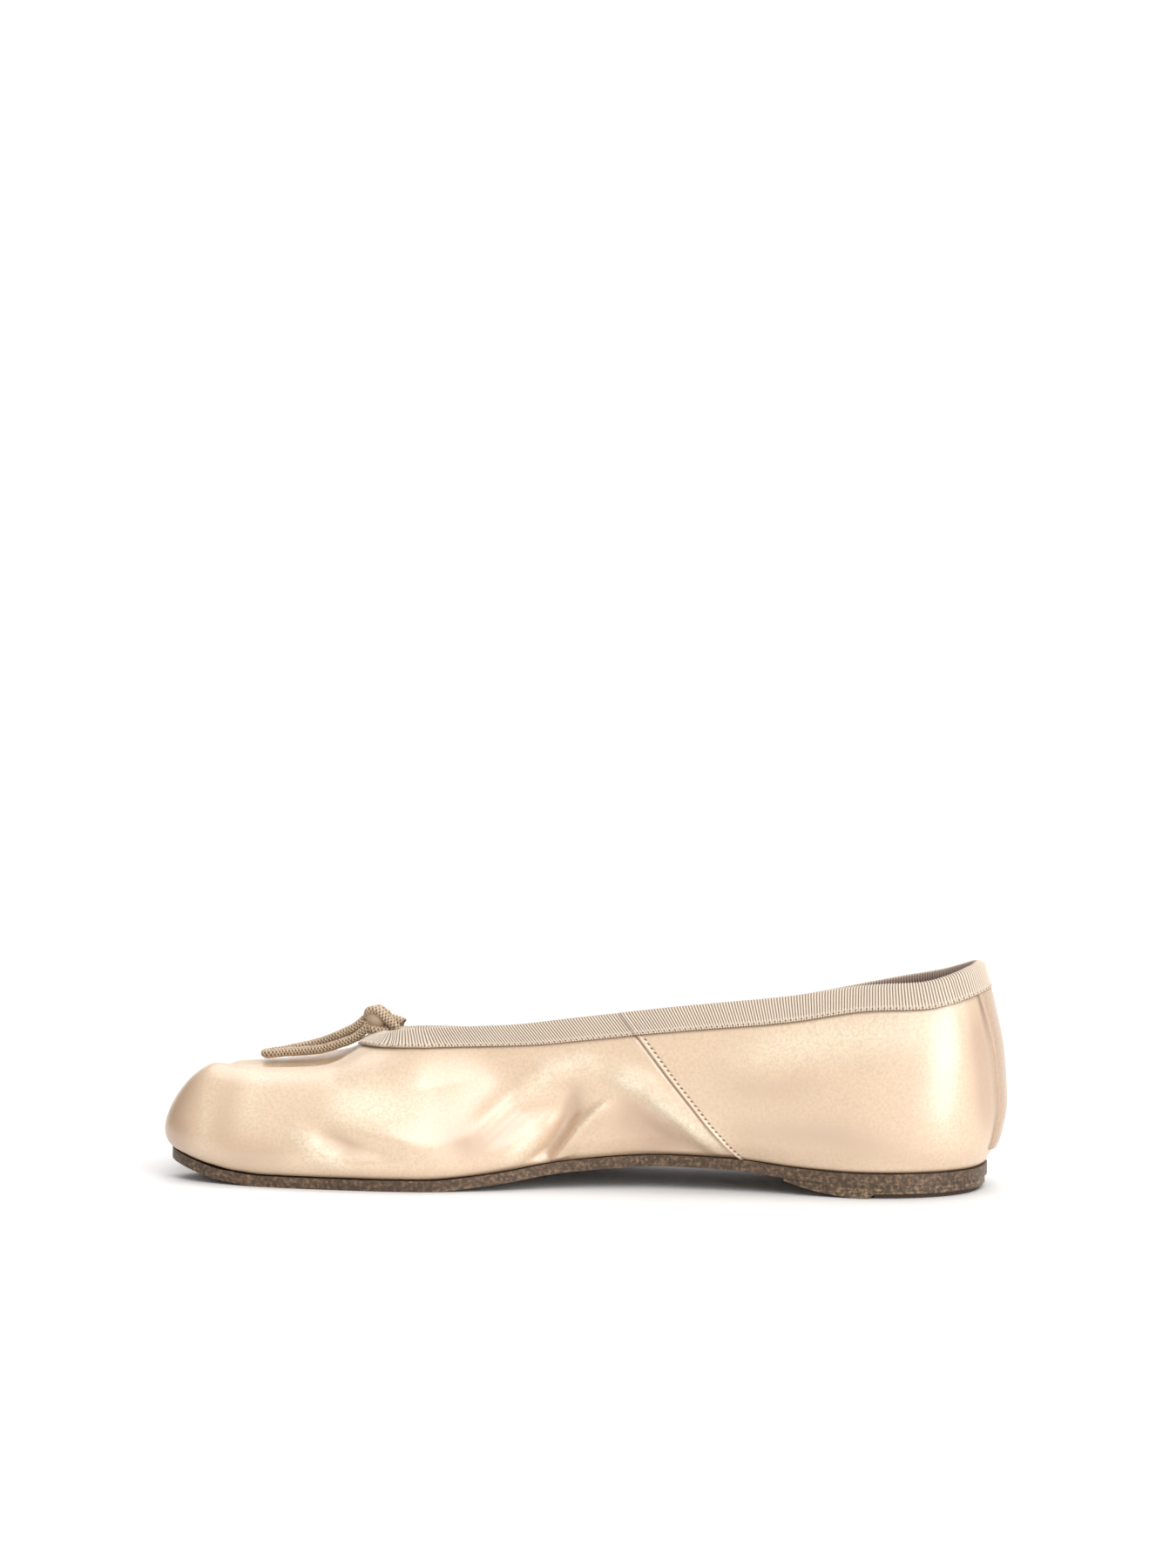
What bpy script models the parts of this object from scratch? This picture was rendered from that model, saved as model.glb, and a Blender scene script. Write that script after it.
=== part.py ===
"""A split-toe ballet flat, right foot, standing empty on its sole.

+X runs from the toe to the heel, -Y is the inner (medial) side, +Z is up and the floor is Z = 0.
The origin is on the floor under the middle of the shoe. Lengths are metres.
"""

import bmesh
import bpy
import numpy as np
from mathutils import Matrix, Vector

# Driving sizes of the sole and the last
sole_length = 0.2430
ball_width = 0.0790
waist_width = 0.0500
heel_width = 0.0560
sole_thickness = 0.0033
toe_spring = 0.0062
arch_height = 0.0072
heel_height = 0.0041

# The split of the toe
cleft_length = 0.0440
cleft_width = 0.0030
cleft_across = -0.0065
toe_tip_power = 2.3

# Heel lift and its rubber
lift_front = 0.0570
lift_lip = 0.0006
lift_inset = 0.0007
rubber_inset = 0.0022
rubber_front = 0.0295
rubber_thickness = 0.0014
heel_steps = 12
bed_margin = 0.0200

# Upper
upper_wall = 0.0016
feather_inset = 0.0014
wall_bulge = 0.0042
bulge_height = 0.0260
bulge_lean = 0.55
cleft_bulge = 0.0003
cleft_shoulder = 0.0120
toe_height = 0.0300
lateral_drop = 0.0040
instep_height = 0.0405
back_height = 0.0664
throat_from_toe = 0.0590
opening_width = 0.0430
opening_back = 0.0020
seam_foot = 0.0705
seam_head = 0.1060
seam_step = 0.0006
seam_half_width = 0.0006
vamp_end, quarter_start = -0.045, 0.005
crest_power = 6
flank_share = 0.38
throat_shares = (0.35, 0.60, 0.74, 0.90)
corner_margin = 0.0020

# Plan paths of the upper's columns, and how often they are relaxed
path_rows = 24
path_rounds = 600
path_reach = 0.42

# Binding, heel tab and insole
band_height = 0.0080
band_sections = (
    {"x": -0.060, "share": 0.72},
    {"x": -0.040, "share": 0.76},
    {"x": 0.014, "share": 0.90},
    {"x": 0.060, "share": 1.00},
    {"x": 0.130, "share": 1.04},
)
band_thickness = 0.0007
tab_head_width = 0.0156
tab_foot_width = 0.0076
tab_thickness = 0.0016
tab_foot = 0.0125
insole_thickness = 0.0022

# Cord of the bow, and its knot
cord_diameter = 0.0028
cord_step = 0.0026
knot_size = (0.0074, 0.0068, 0.0070)

# Routes of the bow's loops and ends, from the middle of the knot
bow_routes = {
    "bow_loop_front": (
        (-0.0041, 0.0010, -0.0005),
        (-0.0072, 0.0020, -0.0031),
        (-0.0106, 0.0031, -0.0049),
        (-0.0171, 0.0050, -0.0079),
        (-0.0237, 0.0063, -0.0099),
        (-0.0300, 0.0074, -0.0115),
        (-0.0336, 0.0075, -0.0121),
        (-0.0353, 0.0059, -0.0123),
        (-0.0336, 0.0043, -0.0122),
        (-0.0296, 0.0040, -0.0116),
        (-0.0233, 0.0029, -0.0109),
        (-0.0168, 0.0016, -0.0098),
        (-0.0102, 0.0005, -0.0075),
        (-0.0069, -0.0001, -0.0063),
        (-0.0047, -0.0006, -0.0041),
    ),
    "bow_loop_side": (
        (-0.0016, 0.0042, 0.0002),
        (-0.0038, 0.0098, -0.0018),
        (-0.0053, 0.0158, -0.0045),
        (-0.0060, 0.0218, -0.0069),
        (-0.0058, 0.0273, -0.0095),
        (-0.0040, 0.0298, -0.0109),
        (-0.0018, 0.0288, -0.0101),
        (-0.0003, 0.0238, -0.0071),
        (0.0004, 0.0178, -0.0044),
        (0.0010, 0.0108, -0.0016),
        (0.0014, 0.0042, 0.0000),
    ),
    "bow_end_back": (
        (0.0043, -0.0008, 0.0002),
        (0.0062, -0.0012, -0.0002),
        (0.0082, -0.0016, -0.0009),
    ),
    "bow_end_side": (
        (-0.0042, 0.0038, -0.0012),
        (-0.0083, 0.0082, -0.0040),
        (-0.0116, 0.0113, -0.0060),
        (-0.0148, 0.0143, -0.0076),
    ),
}

# Gap between pieces that lie on each other
fit_gap = 0.0003

medial, lateral = -1, 1

# Plan of the sole: place along it from the toe, width there, and the share of it on the medial side
plan_sections = (
    {"along": 0.00, "width": 0.80 * ball_width, "medial": 0.50},
    {"along": 0.10, "width": 0.88 * ball_width, "medial": 0.50},
    {"along": 0.20, "width": 0.965 * ball_width, "medial": 0.495},
    {"along": 0.30, "width": 1.00 * ball_width, "medial": 0.485},
    {"along": 0.40, "width": 0.93 * ball_width, "medial": 0.455},
    {"along": 0.50, "width": 1.18 * waist_width, "medial": 0.415},
    {"along": 0.60, "width": 1.02 * waist_width, "medial": 0.405},
    {"along": 0.70, "width": 1.02 * waist_width, "medial": 0.44},
    {"along": 0.80, "width": 0.97 * heel_width, "medial": 0.48},
    {"along": 0.87, "width": 1.00 * heel_width, "medial": 0.50},
    {"along": 1.00, "width": 0.98 * heel_width, "medial": 0.50},
)

# Rise of the sole's underside over the floor, as shares of three named heights
rise_sections = (
    {"along": 0.000, "toe": 1.00, "arch": 0.00, "heel": 0.00},
    {"along": 0.033, "toe": 0.55, "arch": 0.00, "heel": 0.00},
    {"along": 0.070, "toe": 0.19, "arch": 0.00, "heel": 0.00},
    {"along": 0.125, "toe": 0.00, "arch": 0.00, "heel": 0.00},
    {"along": 0.330, "toe": 0.00, "arch": 0.00, "heel": 0.00},
    {"along": 0.400, "toe": 0.00, "arch": 0.22, "heel": 0.00},
    {"along": 0.500, "toe": 0.00, "arch": 0.74, "heel": 0.00},
    {"along": 0.620, "toe": 0.00, "arch": 1.00, "heel": 0.00},
    {"along": 0.700, "toe": 0.00, "arch": 0.85, "heel": 0.18},
    {"along": 0.780, "toe": 0.00, "arch": 0.30, "heel": 0.70},
    {"along": 0.860, "toe": 0.00, "arch": 0.00, "heel": 1.02},
    {"along": 1.000, "toe": 0.00, "arch": 0.00, "heel": 1.00},
)

# The two toe pods: across is the tip's place, back how far it lies behind the toe end,
# outer and inner how far back its rounding runs on the two sides
toe_pods = {
    medial: {"across": -0.0190, "back": 0.0000, "outer": 0.034, "inner": 0.014},
    lateral: {"across": 0.0085, "back": 0.0030, "outer": 0.052, "inner": 0.014},
}

# The last over the forefoot: height of its ridge over the feather line, reach of its shoulder,
# and how much lower the lateral toes lie
vamp_sections = (
    {"along": 0.00, "ridge": 0.94 * toe_height, "shoulder": 0.0155, "lower": 1.00 * lateral_drop},
    {"along": 0.06, "ridge": 1.14 * toe_height, "shoulder": 0.0160, "lower": 1.00 * lateral_drop},
    {"along": 0.12, "ridge": 1.15 * toe_height, "shoulder": 0.0190, "lower": 0.60 * lateral_drop},
    {"along": 0.19, "ridge": 0.89 * instep_height, "shoulder": 0.0240, "lower": 0.20 * lateral_drop},
    {"along": 0.24, "ridge": 1.00 * instep_height, "shoulder": 0.0290, "lower": 0.00},
    {"along": 0.33, "ridge": 1.08 * instep_height, "shoulder": 0.0320, "lower": 0.00},
    {"along": 0.50, "ridge": 1.20 * instep_height, "shoulder": 0.0330, "lower": 0.00},
)

# Topline from throat to back seam: half width and height on the two sides
topline_sections = (
    {"along": 0.00, "medial": 0.80, "lateral": 0.80, "inner": 0.625, "outer": 0.625},
    {"along": 0.06, "medial": 0.84, "lateral": 0.84, "inner": 0.673, "outer": 0.620},
    {"along": 0.17, "medial": 0.95, "lateral": 0.95, "inner": 0.699, "outer": 0.615},
    {"along": 0.26, "medial": 1.00, "lateral": 1.00, "inner": 0.718, "outer": 0.625},
    {"along": 0.35, "medial": 1.00, "lateral": 1.02, "inner": 0.752, "outer": 0.645},
    {"along": 0.52, "medial": 0.99, "lateral": 1.03, "inner": 0.812, "outer": 0.702},
    {"along": 0.70, "medial": 0.95, "lateral": 0.98, "inner": 0.866, "outer": 0.795},
    {"along": 0.84, "medial": 0.90, "lateral": 0.90, "inner": 0.925, "outer": 0.880},
    {"along": 0.93, "medial": 0.90, "lateral": 0.90, "inner": 0.942, "outer": 0.930},
    {"along": 1.00, "medial": 0.90, "lateral": 0.90, "inner": 1.000, "outer": 1.000},
)
throat_round, topline_power = 0.016, 2.2
collar_round = 0.024
sole_back_round = 0.034
back_power = 2.2

# Side wall behind the throat: how far its path lies out of the straight line from foot to topline
wall_sections = (
    {"up": 0.00, "out": 0.00},
    {"up": 0.15, "out": 0.72},
    {"up": 0.32, "out": 1.00},
    {"up": 0.55, "out": 0.90},
    {"up": 0.80, "out": 0.48},
    {"up": 1.00, "out": 0.00},
)
side_belly = 0.0042
heel_belly = 0.0062

# Rows of the upper between feather line and binding, as shares of the way up
wall_rows = (0.00, 0.04, 0.09, 0.15, 0.22, 0.31, 0.42, 0.56, 0.76, 1.00)
band_rows = (0.5, 0.0)
band_column_gap = 0.0025

tab_columns = 2
toe_end = -0.1240
sole_back = toe_end + sole_length
sole_strips = 26
strip_places = np.linspace(toe_end, sole_back, sole_strips + 1)


def smooth_table(rows, key, value, place):
    """Values between the rows of a table, on a curve that never swings past them."""
    x = np.array([row[key] for row in rows])
    y = np.array([row[value] for row in rows])
    step = np.diff(x)
    slope = np.diff(y) / step
    tangent = np.zeros(len(x))
    before, after = slope[:-1], slope[1:]
    same_way = before * after > 0
    tangent[1:-1][same_way] = (2 * before * after)[same_way] / (before + after)[same_way]
    tangent[0], tangent[-1] = slope[0], slope[-1]
    at = np.clip(place, x[0], x[-1])
    i = np.clip(np.searchsorted(x, at) - 1, 0, len(step) - 1)
    t = (at - x[i]) / step[i]
    return (
        (1 + 2 * t) * (1 - t) ** 2 * y[i]
        + t * (1 - t) ** 2 * step[i] * tangent[i]
        + t**2 * (3 - 2 * t) * y[i + 1]
        - t**2 * (1 - t) * step[i] * tangent[i + 1]
    )


def along_sole(x):
    return (np.asarray(x) - toe_end) / sole_length


def edge(side, x, inset=0.0):
    """Y of the sole's edge on one side, without the rounding of toe and heel."""
    along = along_sole(x)
    width = smooth_table(plan_sections, "along", "width", along)
    share = smooth_table(plan_sections, "along", "medial", along)
    return side * (width * (share if side == medial else 1 - share) - inset)


def sole_under(x):
    """Height of the sole's underside, which bends between straight strips across the shoe."""
    along = along_sole(strip_places)
    rise = sum(
        size * smooth_table(rise_sections, "along", name, along)
        for name, size in (("toe", toe_spring), ("arch", arch_height), ("heel", heel_height))
    )
    return np.interp(x, strip_places, rise)


def sole_over(x):
    return sole_under(x) + sole_thickness


def round_end(steps, power):
    """Shares of depth and breadth round a quarter of a rounded end, from its side to its tip."""
    turn = np.linspace(0, np.pi / 2, steps)
    return 1 - np.sin(turn) ** (2 / power), np.abs(np.cos(turn)) ** (2 / power)


def half_outline(side, inset=0.0, steps=40):
    """Named stretches of one half of the sole's outline, from the back seam to the end of the cleft."""
    pod = toe_pods[side]
    back, depth = sole_back - inset, sole_back_round - inset
    tip = toe_end + pod["back"] + inset
    outer, inner = pod["outer"] - inset, pod["inner"] - inset
    wall = cleft_across + side * (cleft_width / 2 + inset)
    cleft_end = toe_end + cleft_length + inset
    bottom_radius = cleft_width / 2 + inset

    share_x, share_y = (part[::-1] for part in round_end(steps, back_power))
    x = back - share_x * depth
    heel = np.stack([x, share_y * edge(side, x, inset)], axis=1)

    x = np.linspace(back - depth, tip + outer, 3 * steps)
    flank = np.stack([x, edge(side, x, inset)], axis=1)

    share_x, share_y = round_end(steps, toe_tip_power)
    x = tip + share_x * outer
    outside = np.stack([x, pod["across"] + share_y * (edge(side, x, inset) - pod["across"])], axis=1)

    share_x, share_y = (part[::-1] for part in round_end(steps, toe_tip_power))
    x = tip + share_x * inner
    inside = np.stack([x, pod["across"] + share_y * (wall - pod["across"])], axis=1)

    x = np.linspace(tip + inner, cleft_end - bottom_radius, steps)
    cleft = np.stack([x, np.full(steps, wall)], axis=1)

    turn = np.linspace(0, np.pi / 2, steps)
    bottom = np.stack(
        [
            cleft_end - bottom_radius + bottom_radius * np.sin(turn),
            cleft_across + side * bottom_radius * np.cos(turn),
        ],
        axis=1,
    )
    return {
        "heel": heel,
        "flank": flank,
        "outside": outside,
        "inside": inside,
        "cleft": cleft,
        "bottom": bottom,
    }


def joined(stretches):
    line = np.concatenate(list(stretches))
    keep = np.concatenate([[True], np.linalg.norm(np.diff(line, axis=0), axis=1) > 1e-7])
    return line[keep]


def lengths(line):
    return np.concatenate([[0], np.cumsum(np.linalg.norm(np.diff(line, axis=0), axis=1))])


def at_length(line, wanted):
    along = lengths(line)
    return np.stack([np.interp(wanted, along, line[:, k]) for k in range(line.shape[1])], axis=1)


def half_topline(side, steps=60):
    """One half of the collar's edge, from the back seam to the middle of the throat."""
    half, height = ("medial", "inner") if side == medial else ("lateral", "outer")
    front, back = toe_end + throat_from_toe, sole_back - opening_back
    share_x, share_y = (part[::-1] for part in round_end(steps, back_power))
    x_back = back - share_x * collar_round
    x_front_share, y_front = round_end(steps, topline_power)
    x_front = front + x_front_share * throat_round
    x_middle = np.linspace(x_back[-1], x_front[0], 3 * steps)[1:-1]
    x = np.concatenate([x_back, x_middle, x_front])
    breadth = np.concatenate([share_y, np.ones(len(x_middle)), y_front])
    place = (x - front) / (back - front)
    y = side * breadth * opening_width / 2 * smooth_table(topline_sections, "along", half, place)
    z = back_height * smooth_table(topline_sections, "along", height, place)
    return np.stack([x, y, z], axis=1)


def half_columns(side, fine=1):
    """Lengths along the outline and along the topline at which the upper's columns stand."""
    stretches = half_outline(side, feather_inset)
    outline = joined(stretches.values())
    topline = half_topline(side)
    ends = np.cumsum([lengths(line)[-1] for line in stretches.values()])
    way, edge_way = lengths(outline), lengths(topline)
    on_flank = way <= ends[1]
    before_throat = topline[:, 0] > toe_end + throat_from_toe + throat_round

    def foot_at(x):
        return float(np.interp(-x, -outline[on_flank, 0], way[on_flank]))

    def head_at(x):
        return float(np.interp(-x, -topline[before_throat, 0], edge_way[before_throat]))

    seam = foot_at(toe_end + sole_length - seam_foot)
    seam_top = head_at(sole_back - seam_head)
    corner = head_at(toe_end + throat_from_toe + throat_round)
    rest = edge_way[-1] - corner
    stops = (
        {"foot": 0.0, "head": 0.0, "columns": tab_columns},
        {"foot": tab_foot_width / 2, "head": tab_head_width / 2, "columns": 5},
        {"foot": ends[0], "head": head_at(sole_back - sole_back_round - corner_margin), "columns": 7},
        {"foot": seam - seam_half_width, "head": seam_top - seam_half_width, "columns": 1},
        {"foot": seam + seam_half_width, "head": seam_top + seam_half_width, "columns": 12},
        {"foot": foot_at(toe_end + flank_share * sole_length), "head": corner, "columns": 5},
        {"foot": ends[1], "head": corner + throat_shares[0] * rest, "columns": 8},
        {"foot": ends[2], "head": corner + throat_shares[1] * rest, "columns": 6},
        {"foot": ends[3], "head": corner + throat_shares[2] * rest, "columns": 4},
        {"foot": ends[4], "head": corner + throat_shares[3] * rest, "columns": 2},
        {"foot": ends[5], "head": edge_way[-1], "columns": 0},
    )
    feet = []
    for stop, after in zip(stops, stops[1:]):
        count = stop["columns"] * fine
        feet.append(np.linspace(stop["foot"], after["foot"], count, endpoint=False))
    feet = np.concatenate([*feet, [ends[5]]])
    heads = smooth_table(stops, "foot", "head", feet)
    return at_length(outline, feet), at_length(topline, heads), feet, seam


def away_from(points, line):
    """Distance of each point, in plan, from a line."""
    start, step = line[:-1], np.diff(line, axis=0)
    offset = points[..., None, :2] - start
    share = np.clip((offset * step).sum(-1) / (step**2).sum(-1), 0, 1)
    return np.linalg.norm(offset - share[..., None] * step, axis=-1).min(-1)


def plan_paths(foot, head, wanted):
    """Plan of each column at shares of its way from foot to head: paths that never cross."""
    t = np.linspace(0, 1, path_rows)[:, None, None]
    reach = np.minimum(path_reach * np.linalg.norm(head - foot, axis=1), cleft_shoulder)[:, None]
    leave = foot - outward(foot) * reach
    arrive = head - np.array([reach[:, 0], 0 * reach[:, 0]]).T * (1 - back_weight(foot[:, 0]))[:, None]
    path = (1 - t) ** 3 * foot + 3 * t * (1 - t) ** 2 * leave + 3 * t**2 * (1 - t) * arrive + t**3 * head
    for _ in range(path_rounds):
        east, west = np.roll(path, -1, axis=1)[1:-1], np.roll(path, 1, axis=1)[1:-1]
        north, south = path[2:], path[:-2]
        along, up = (east - west) / 2, (north - south) / 2
        corner = np.roll(north, -1, axis=1) - np.roll(north, 1, axis=1)
        corner = (corner - np.roll(south, -1, axis=1) + np.roll(south, 1, axis=1)) / 4
        alpha = (up**2).sum(-1, keepdims=True) + 1e-12
        beta = (along * up).sum(-1, keepdims=True)
        gamma = (along**2).sum(-1, keepdims=True) + 1e-12
        inner = alpha * (east + west) + gamma * (north + south) - 2 * beta * corner
        path[1:-1] = inner / (2 * (alpha + gamma))
    fine = wanted * (path_rows - 1)
    i = np.minimum(fine.astype(int), path_rows - 2)
    share = (fine - i)[:, None, None]
    return path[i] * (1 - share) + path[i + 1] * share


def vamp_height(points, outline, cleft):
    """Height of the last's upper face over the forefoot at places in plan."""
    along = along_sole(points[..., 0])
    ridge = smooth_table(vamp_sections, "along", "ridge", along)
    beyond = np.clip((points[..., 1] - cleft_across) / cleft_shoulder, 0, 1)
    ridge = ridge - beyond * smooth_table(vamp_sections, "along", "lower", along)
    shoulder = smooth_table(vamp_sections, "along", "shoulder", along)
    outer = np.clip(away_from(points, outline) / shoulder, 0, 1)
    inner = np.clip(away_from(points, cleft) / cleft_shoulder, 0, 1)
    rises = [np.sqrt(1 - (1 - part) ** 2) + 1e-4 for part in (outer, inner)]
    rise = (rises[0] ** -crest_power + rises[1] ** -crest_power) ** (-1 / crest_power)
    return sole_over(points[..., 0]) + fit_gap + ridge * rise


def outward(line):
    """Unit normals of a closed plan line, pointing away from the shoe's inside."""
    along = np.roll(line, -1, axis=0) - np.roll(line, 1, axis=0)
    normal = np.stack([-along[:, 1], along[:, 0]], axis=1)
    return normal / np.linalg.norm(normal, axis=1)[:, None]


def line_through(near, far, names):
    """The named stretches of both halves of the outline as one line."""
    halves = [joined([half[name] for name in names]) for half in (near, far)]
    if names[0] == "heel":
        return joined([halves[1][::-1], halves[0]])
    return joined([halves[0], halves[1][::-1]])


def ring(side_values):
    """Two half rings, each from the back seam to the cleft, as one closed ring."""
    first, second = side_values
    return np.concatenate([first, second[-2:0:-1]])


def upper_skin(fine=1, samples=120):
    """The upper's outer face, as rows of columns of XYZ, and which columns the quarter's step lifts."""
    halves = [half_columns(side, fine) for side in (medial, lateral)]
    foot = ring([half[0] for half in halves])
    head = ring([half[1] for half in halves])
    way = ring([half[2] for half in halves])
    seam = np.concatenate(
        [np.full(len(half[2]) - cut, half[3]) for half, cut in zip(halves, (0, 2))]
    )
    near, far = (half_outline(side, feather_inset) for side in (medial, lateral))
    outline = line_through(near, far, ("heel", "flank", "outside"))
    cleft = line_through(near, far, ("inside", "cleft", "bottom"))
    cleft_walls = line_through(near, far, ("cleft", "bottom"))
    normal = outward(foot)
    low = sole_over(foot[:, 0]) + fit_gap
    share = np.linspace(0, 1, samples)[:, None]

    # The forefoot follows the last's ridge and shoulders, less a bulge over the sole's edge
    t = share**2.5
    plan = plan_paths(foot, head[:, :2], t[:, 0])
    height = vamp_height(plan, outline, cleft)
    height = height + (low - height[0]) * (1 - t) ** 4
    height = height + (head[:, 2] - height[-1]) * t**2
    up = np.clip((height - low) / bulge_height, 0, 1)
    beside_cleft = np.clip(away_from(foot, cleft_walls) / cleft_shoulder, 0, 1)
    bulge = cleft_bulge + (wall_bulge - cleft_bulge) * beside_cleft
    front = plan + normal * (bulge * np.sin(np.pi * up**bulge_lean))[..., None]
    front = np.concatenate([front, height[..., None]], axis=2)

    # The quarters rise as a bellied wall
    straight = foot + (head[:, :2] - foot) * share[..., None]
    belly = side_belly + (heel_belly - side_belly) * np.clip(normal[:, 0], 0, 1) ** 2
    out = smooth_table(wall_sections, "up", "out", share) * belly
    rise = low + (head[:, 2] - low) * share
    wall = np.concatenate([straight + normal * out[..., None], rise[..., None]], axis=2)

    # Rows at even shares of the way up, and two that the binding's edge follows
    weight = back_weight(foot[:, 0])
    rows = []
    for column in range(len(foot)):
        lines = [
            at_length(line, share[:, 0] * lengths(line)[-1])
            for line in (front[:, column], wall[:, column])
        ]
        line = lines[0] * (1 - weight[column]) + lines[1] * weight[column]
        total = lengths(line)[-1]
        band = band_height * float(smooth_table(band_sections, "x", "share", head[column, 0]))
        places = [part * (total - band) for part in wall_rows]
        places += [total - part * band for part in band_rows]
        rows.append(at_length(line, places))
    skin = np.stack(rows, axis=1)
    quarter = np.clip((seam - way) / (2 * seam_half_width) + 0.5, 0, 1)
    stepped = skin + face_normals(skin) * (quarter * seam_step)[None, :, None]
    stepped[0, :, 2] = low
    return stepped, quarter


def back_weight(x):
    """0 over the forefoot and 1 behind it."""
    t = np.clip((x - vamp_end) / (quarter_start - vamp_end), 0, 1)
    return t * t * (3 - 2 * t)


def face_normals(skin):
    across = np.roll(skin, -1, axis=1) - np.roll(skin, 1, axis=1)
    up = np.gradient(skin, axis=0)
    normal = np.cross(up, across)
    return normal / np.linalg.norm(normal, axis=2)[..., None]


def face_normals_of_strip(strip):
    across, up = np.gradient(strip, axis=1), np.gradient(strip, axis=0)
    normal = np.cross(up, across)
    return normal / np.linalg.norm(normal, axis=2)[..., None]


def new_material(name, colour, roughness):
    made = bpy.data.materials.new(name)
    made.use_nodes = True
    shader = made.node_tree.nodes["Principled BSDF"]
    shader.inputs["Base Color"].default_value = (*colour, 1)
    shader.inputs["Roughness"].default_value = roughness
    shader.inputs["Metallic"].default_value = 0
    return made


def new_object(name, mesh, material, smooth=True):
    obj = bpy.data.objects.new(name, mesh)
    shoe.objects.link(obj)
    mesh.materials.append(material)
    if smooth:
        mesh.shade_smooth()
        mesh.set_sharp_from_angle(angle=np.radians(35))
    return obj


def taken_into(collection, name):
    """The object that an operator has just made, named and moved to a collection."""
    obj = bpy.context.active_object
    obj.name = name
    obj.data.name = name
    for owner in list(obj.users_collection):
        owner.objects.unlink(obj)
    collection.objects.link(obj)
    return obj


def grid_mesh(name, grid, closed_down=False):
    """A mesh over rows of points, each row a closed ring; closed_down also joins last row to first."""
    rows, columns = grid.shape[:2]
    faces = []
    for i in range(rows if closed_down else rows - 1):
        for j in range(columns):
            after_i, after_j = (i + 1) % rows, (j + 1) % columns
            faces.append(
                (
                    i * columns + j,
                    after_i * columns + j,
                    after_i * columns + after_j,
                    i * columns + after_j,
                )
            )
    mesh = bpy.data.meshes.new(name)
    mesh.from_pydata(grid.reshape(-1, 3).tolist(), [], faces)
    return mesh


def outline_ring(inset, steps):
    """The whole outline, resampled so that no two points lie too near each other."""
    line = []
    for side in (medial, lateral):
        half = half_outline(side, inset)
        parts = []
        for name, count in zip(half, steps):
            stretch = half[name]
            parts.append(at_length(stretch, np.linspace(0, lengths(stretch)[-1], count + 1)[:-1]))
        parts.append(half["bottom"][-1:])
        line.append(np.concatenate(parts))
    return ring(line)


def plate_mesh(name, line, cuts):
    """A flat plate between Z = -0.5 and 0.5 with a closed outline, cut across at places along X."""
    curve = bpy.data.curves.new(name, "CURVE")
    curve.dimensions = "2D"
    curve.fill_mode = "BOTH"
    curve.extrude = 0.5
    spline = curve.splines.new("POLY")
    spline.points.add(len(line) - 1)
    for point, (x, y) in zip(spline.points, line):
        point.co = (x, y, 0, 1)
    spline.use_cyclic_u = True
    helper = bpy.data.objects.new(name, curve)
    shoe.objects.link(helper)
    graph = bpy.context.evaluated_depsgraph_get()
    mesh = bpy.data.meshes.new_from_object(helper.evaluated_get(graph))
    bpy.data.objects.remove(helper)
    work = bmesh.new()
    work.from_mesh(mesh)
    bmesh.ops.remove_doubles(work, verts=work.verts, dist=1e-6)
    for way in (-1, 1):
        flat = [face for face in work.faces if face.normal.z * way > 0.9]
        bmesh.ops.dissolve_faces(work, faces=flat)
    for x in cuts:
        every = work.verts[:] + work.edges[:] + work.faces[:]
        bmesh.ops.bisect_plane(work, geom=every, dist=1e-6, plane_co=(x, 0, 0), plane_no=(1, 0, 0))
    work.to_mesh(mesh)
    work.free()
    return mesh


def bend_plate(mesh, under, over):
    """Brings the two faces of a plate to the heights that two functions of X give."""
    for vertex in mesh.vertices:
        height = under if vertex.co.z < 0 else over
        vertex.co.z = float(height(vertex.co.x))


def lift_under(x):
    """Underside of the heel lift: flat at the back, rising to a thin lip at the waist."""
    t = np.clip((sole_back - rubber_front - x) / (lift_front - rubber_front), 0, 1)
    return (sole_under(sole_back - lift_front) - fit_gap - lift_lip) * t**2.2


def heel_outline(front, inset):
    """The sole's outline behind a straight front edge, front being its distance from the back."""
    start = sole_back - front
    halves = []
    for side in (medial, lateral):
        half = half_outline(side, inset)
        line = joined([half["heel"], half["flank"]])
        reach = float(np.interp(-start, -line[:, 0], lengths(line)))
        halves.append(at_length(line, np.linspace(0, reach, heel_steps)))
    return np.concatenate([halves[0][::-1], halves[1][1:]])


def along_columns(skin, columns, first, last):
    """The skin's columns between two heights: from Z = first to the row called last, all alike."""
    rows = []
    for column in columns:
        line = skin[: last + 1, column]
        way = lengths(line)
        start = float(np.interp(first, line[:, 2], way))
        inner = [place for place in way if start + corner_margin < place < way[-1] - corner_margin]
        rows.append(at_length(line, [start, *inner, way[-1] - fit_gap]))
    return np.stack(rows, axis=1)


def strip_mesh(name, inner, outer):
    """A closed strip between two like grids of points, inner and outer."""
    rows, columns = inner.shape[:2]
    loops = []
    for i in range(rows):
        loops.append(np.concatenate([outer[i], inner[i, ::-1]]))
    mesh = grid_mesh(name, np.stack(loops))
    work = bmesh.new()
    work.from_mesh(mesh)
    bmesh.ops.holes_fill(work, edges=[edge for edge in work.edges if edge.is_boundary])
    bmesh.ops.recalc_face_normals(work, faces=work.faces)
    work.to_mesh(mesh)
    work.free()
    return mesh


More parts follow.
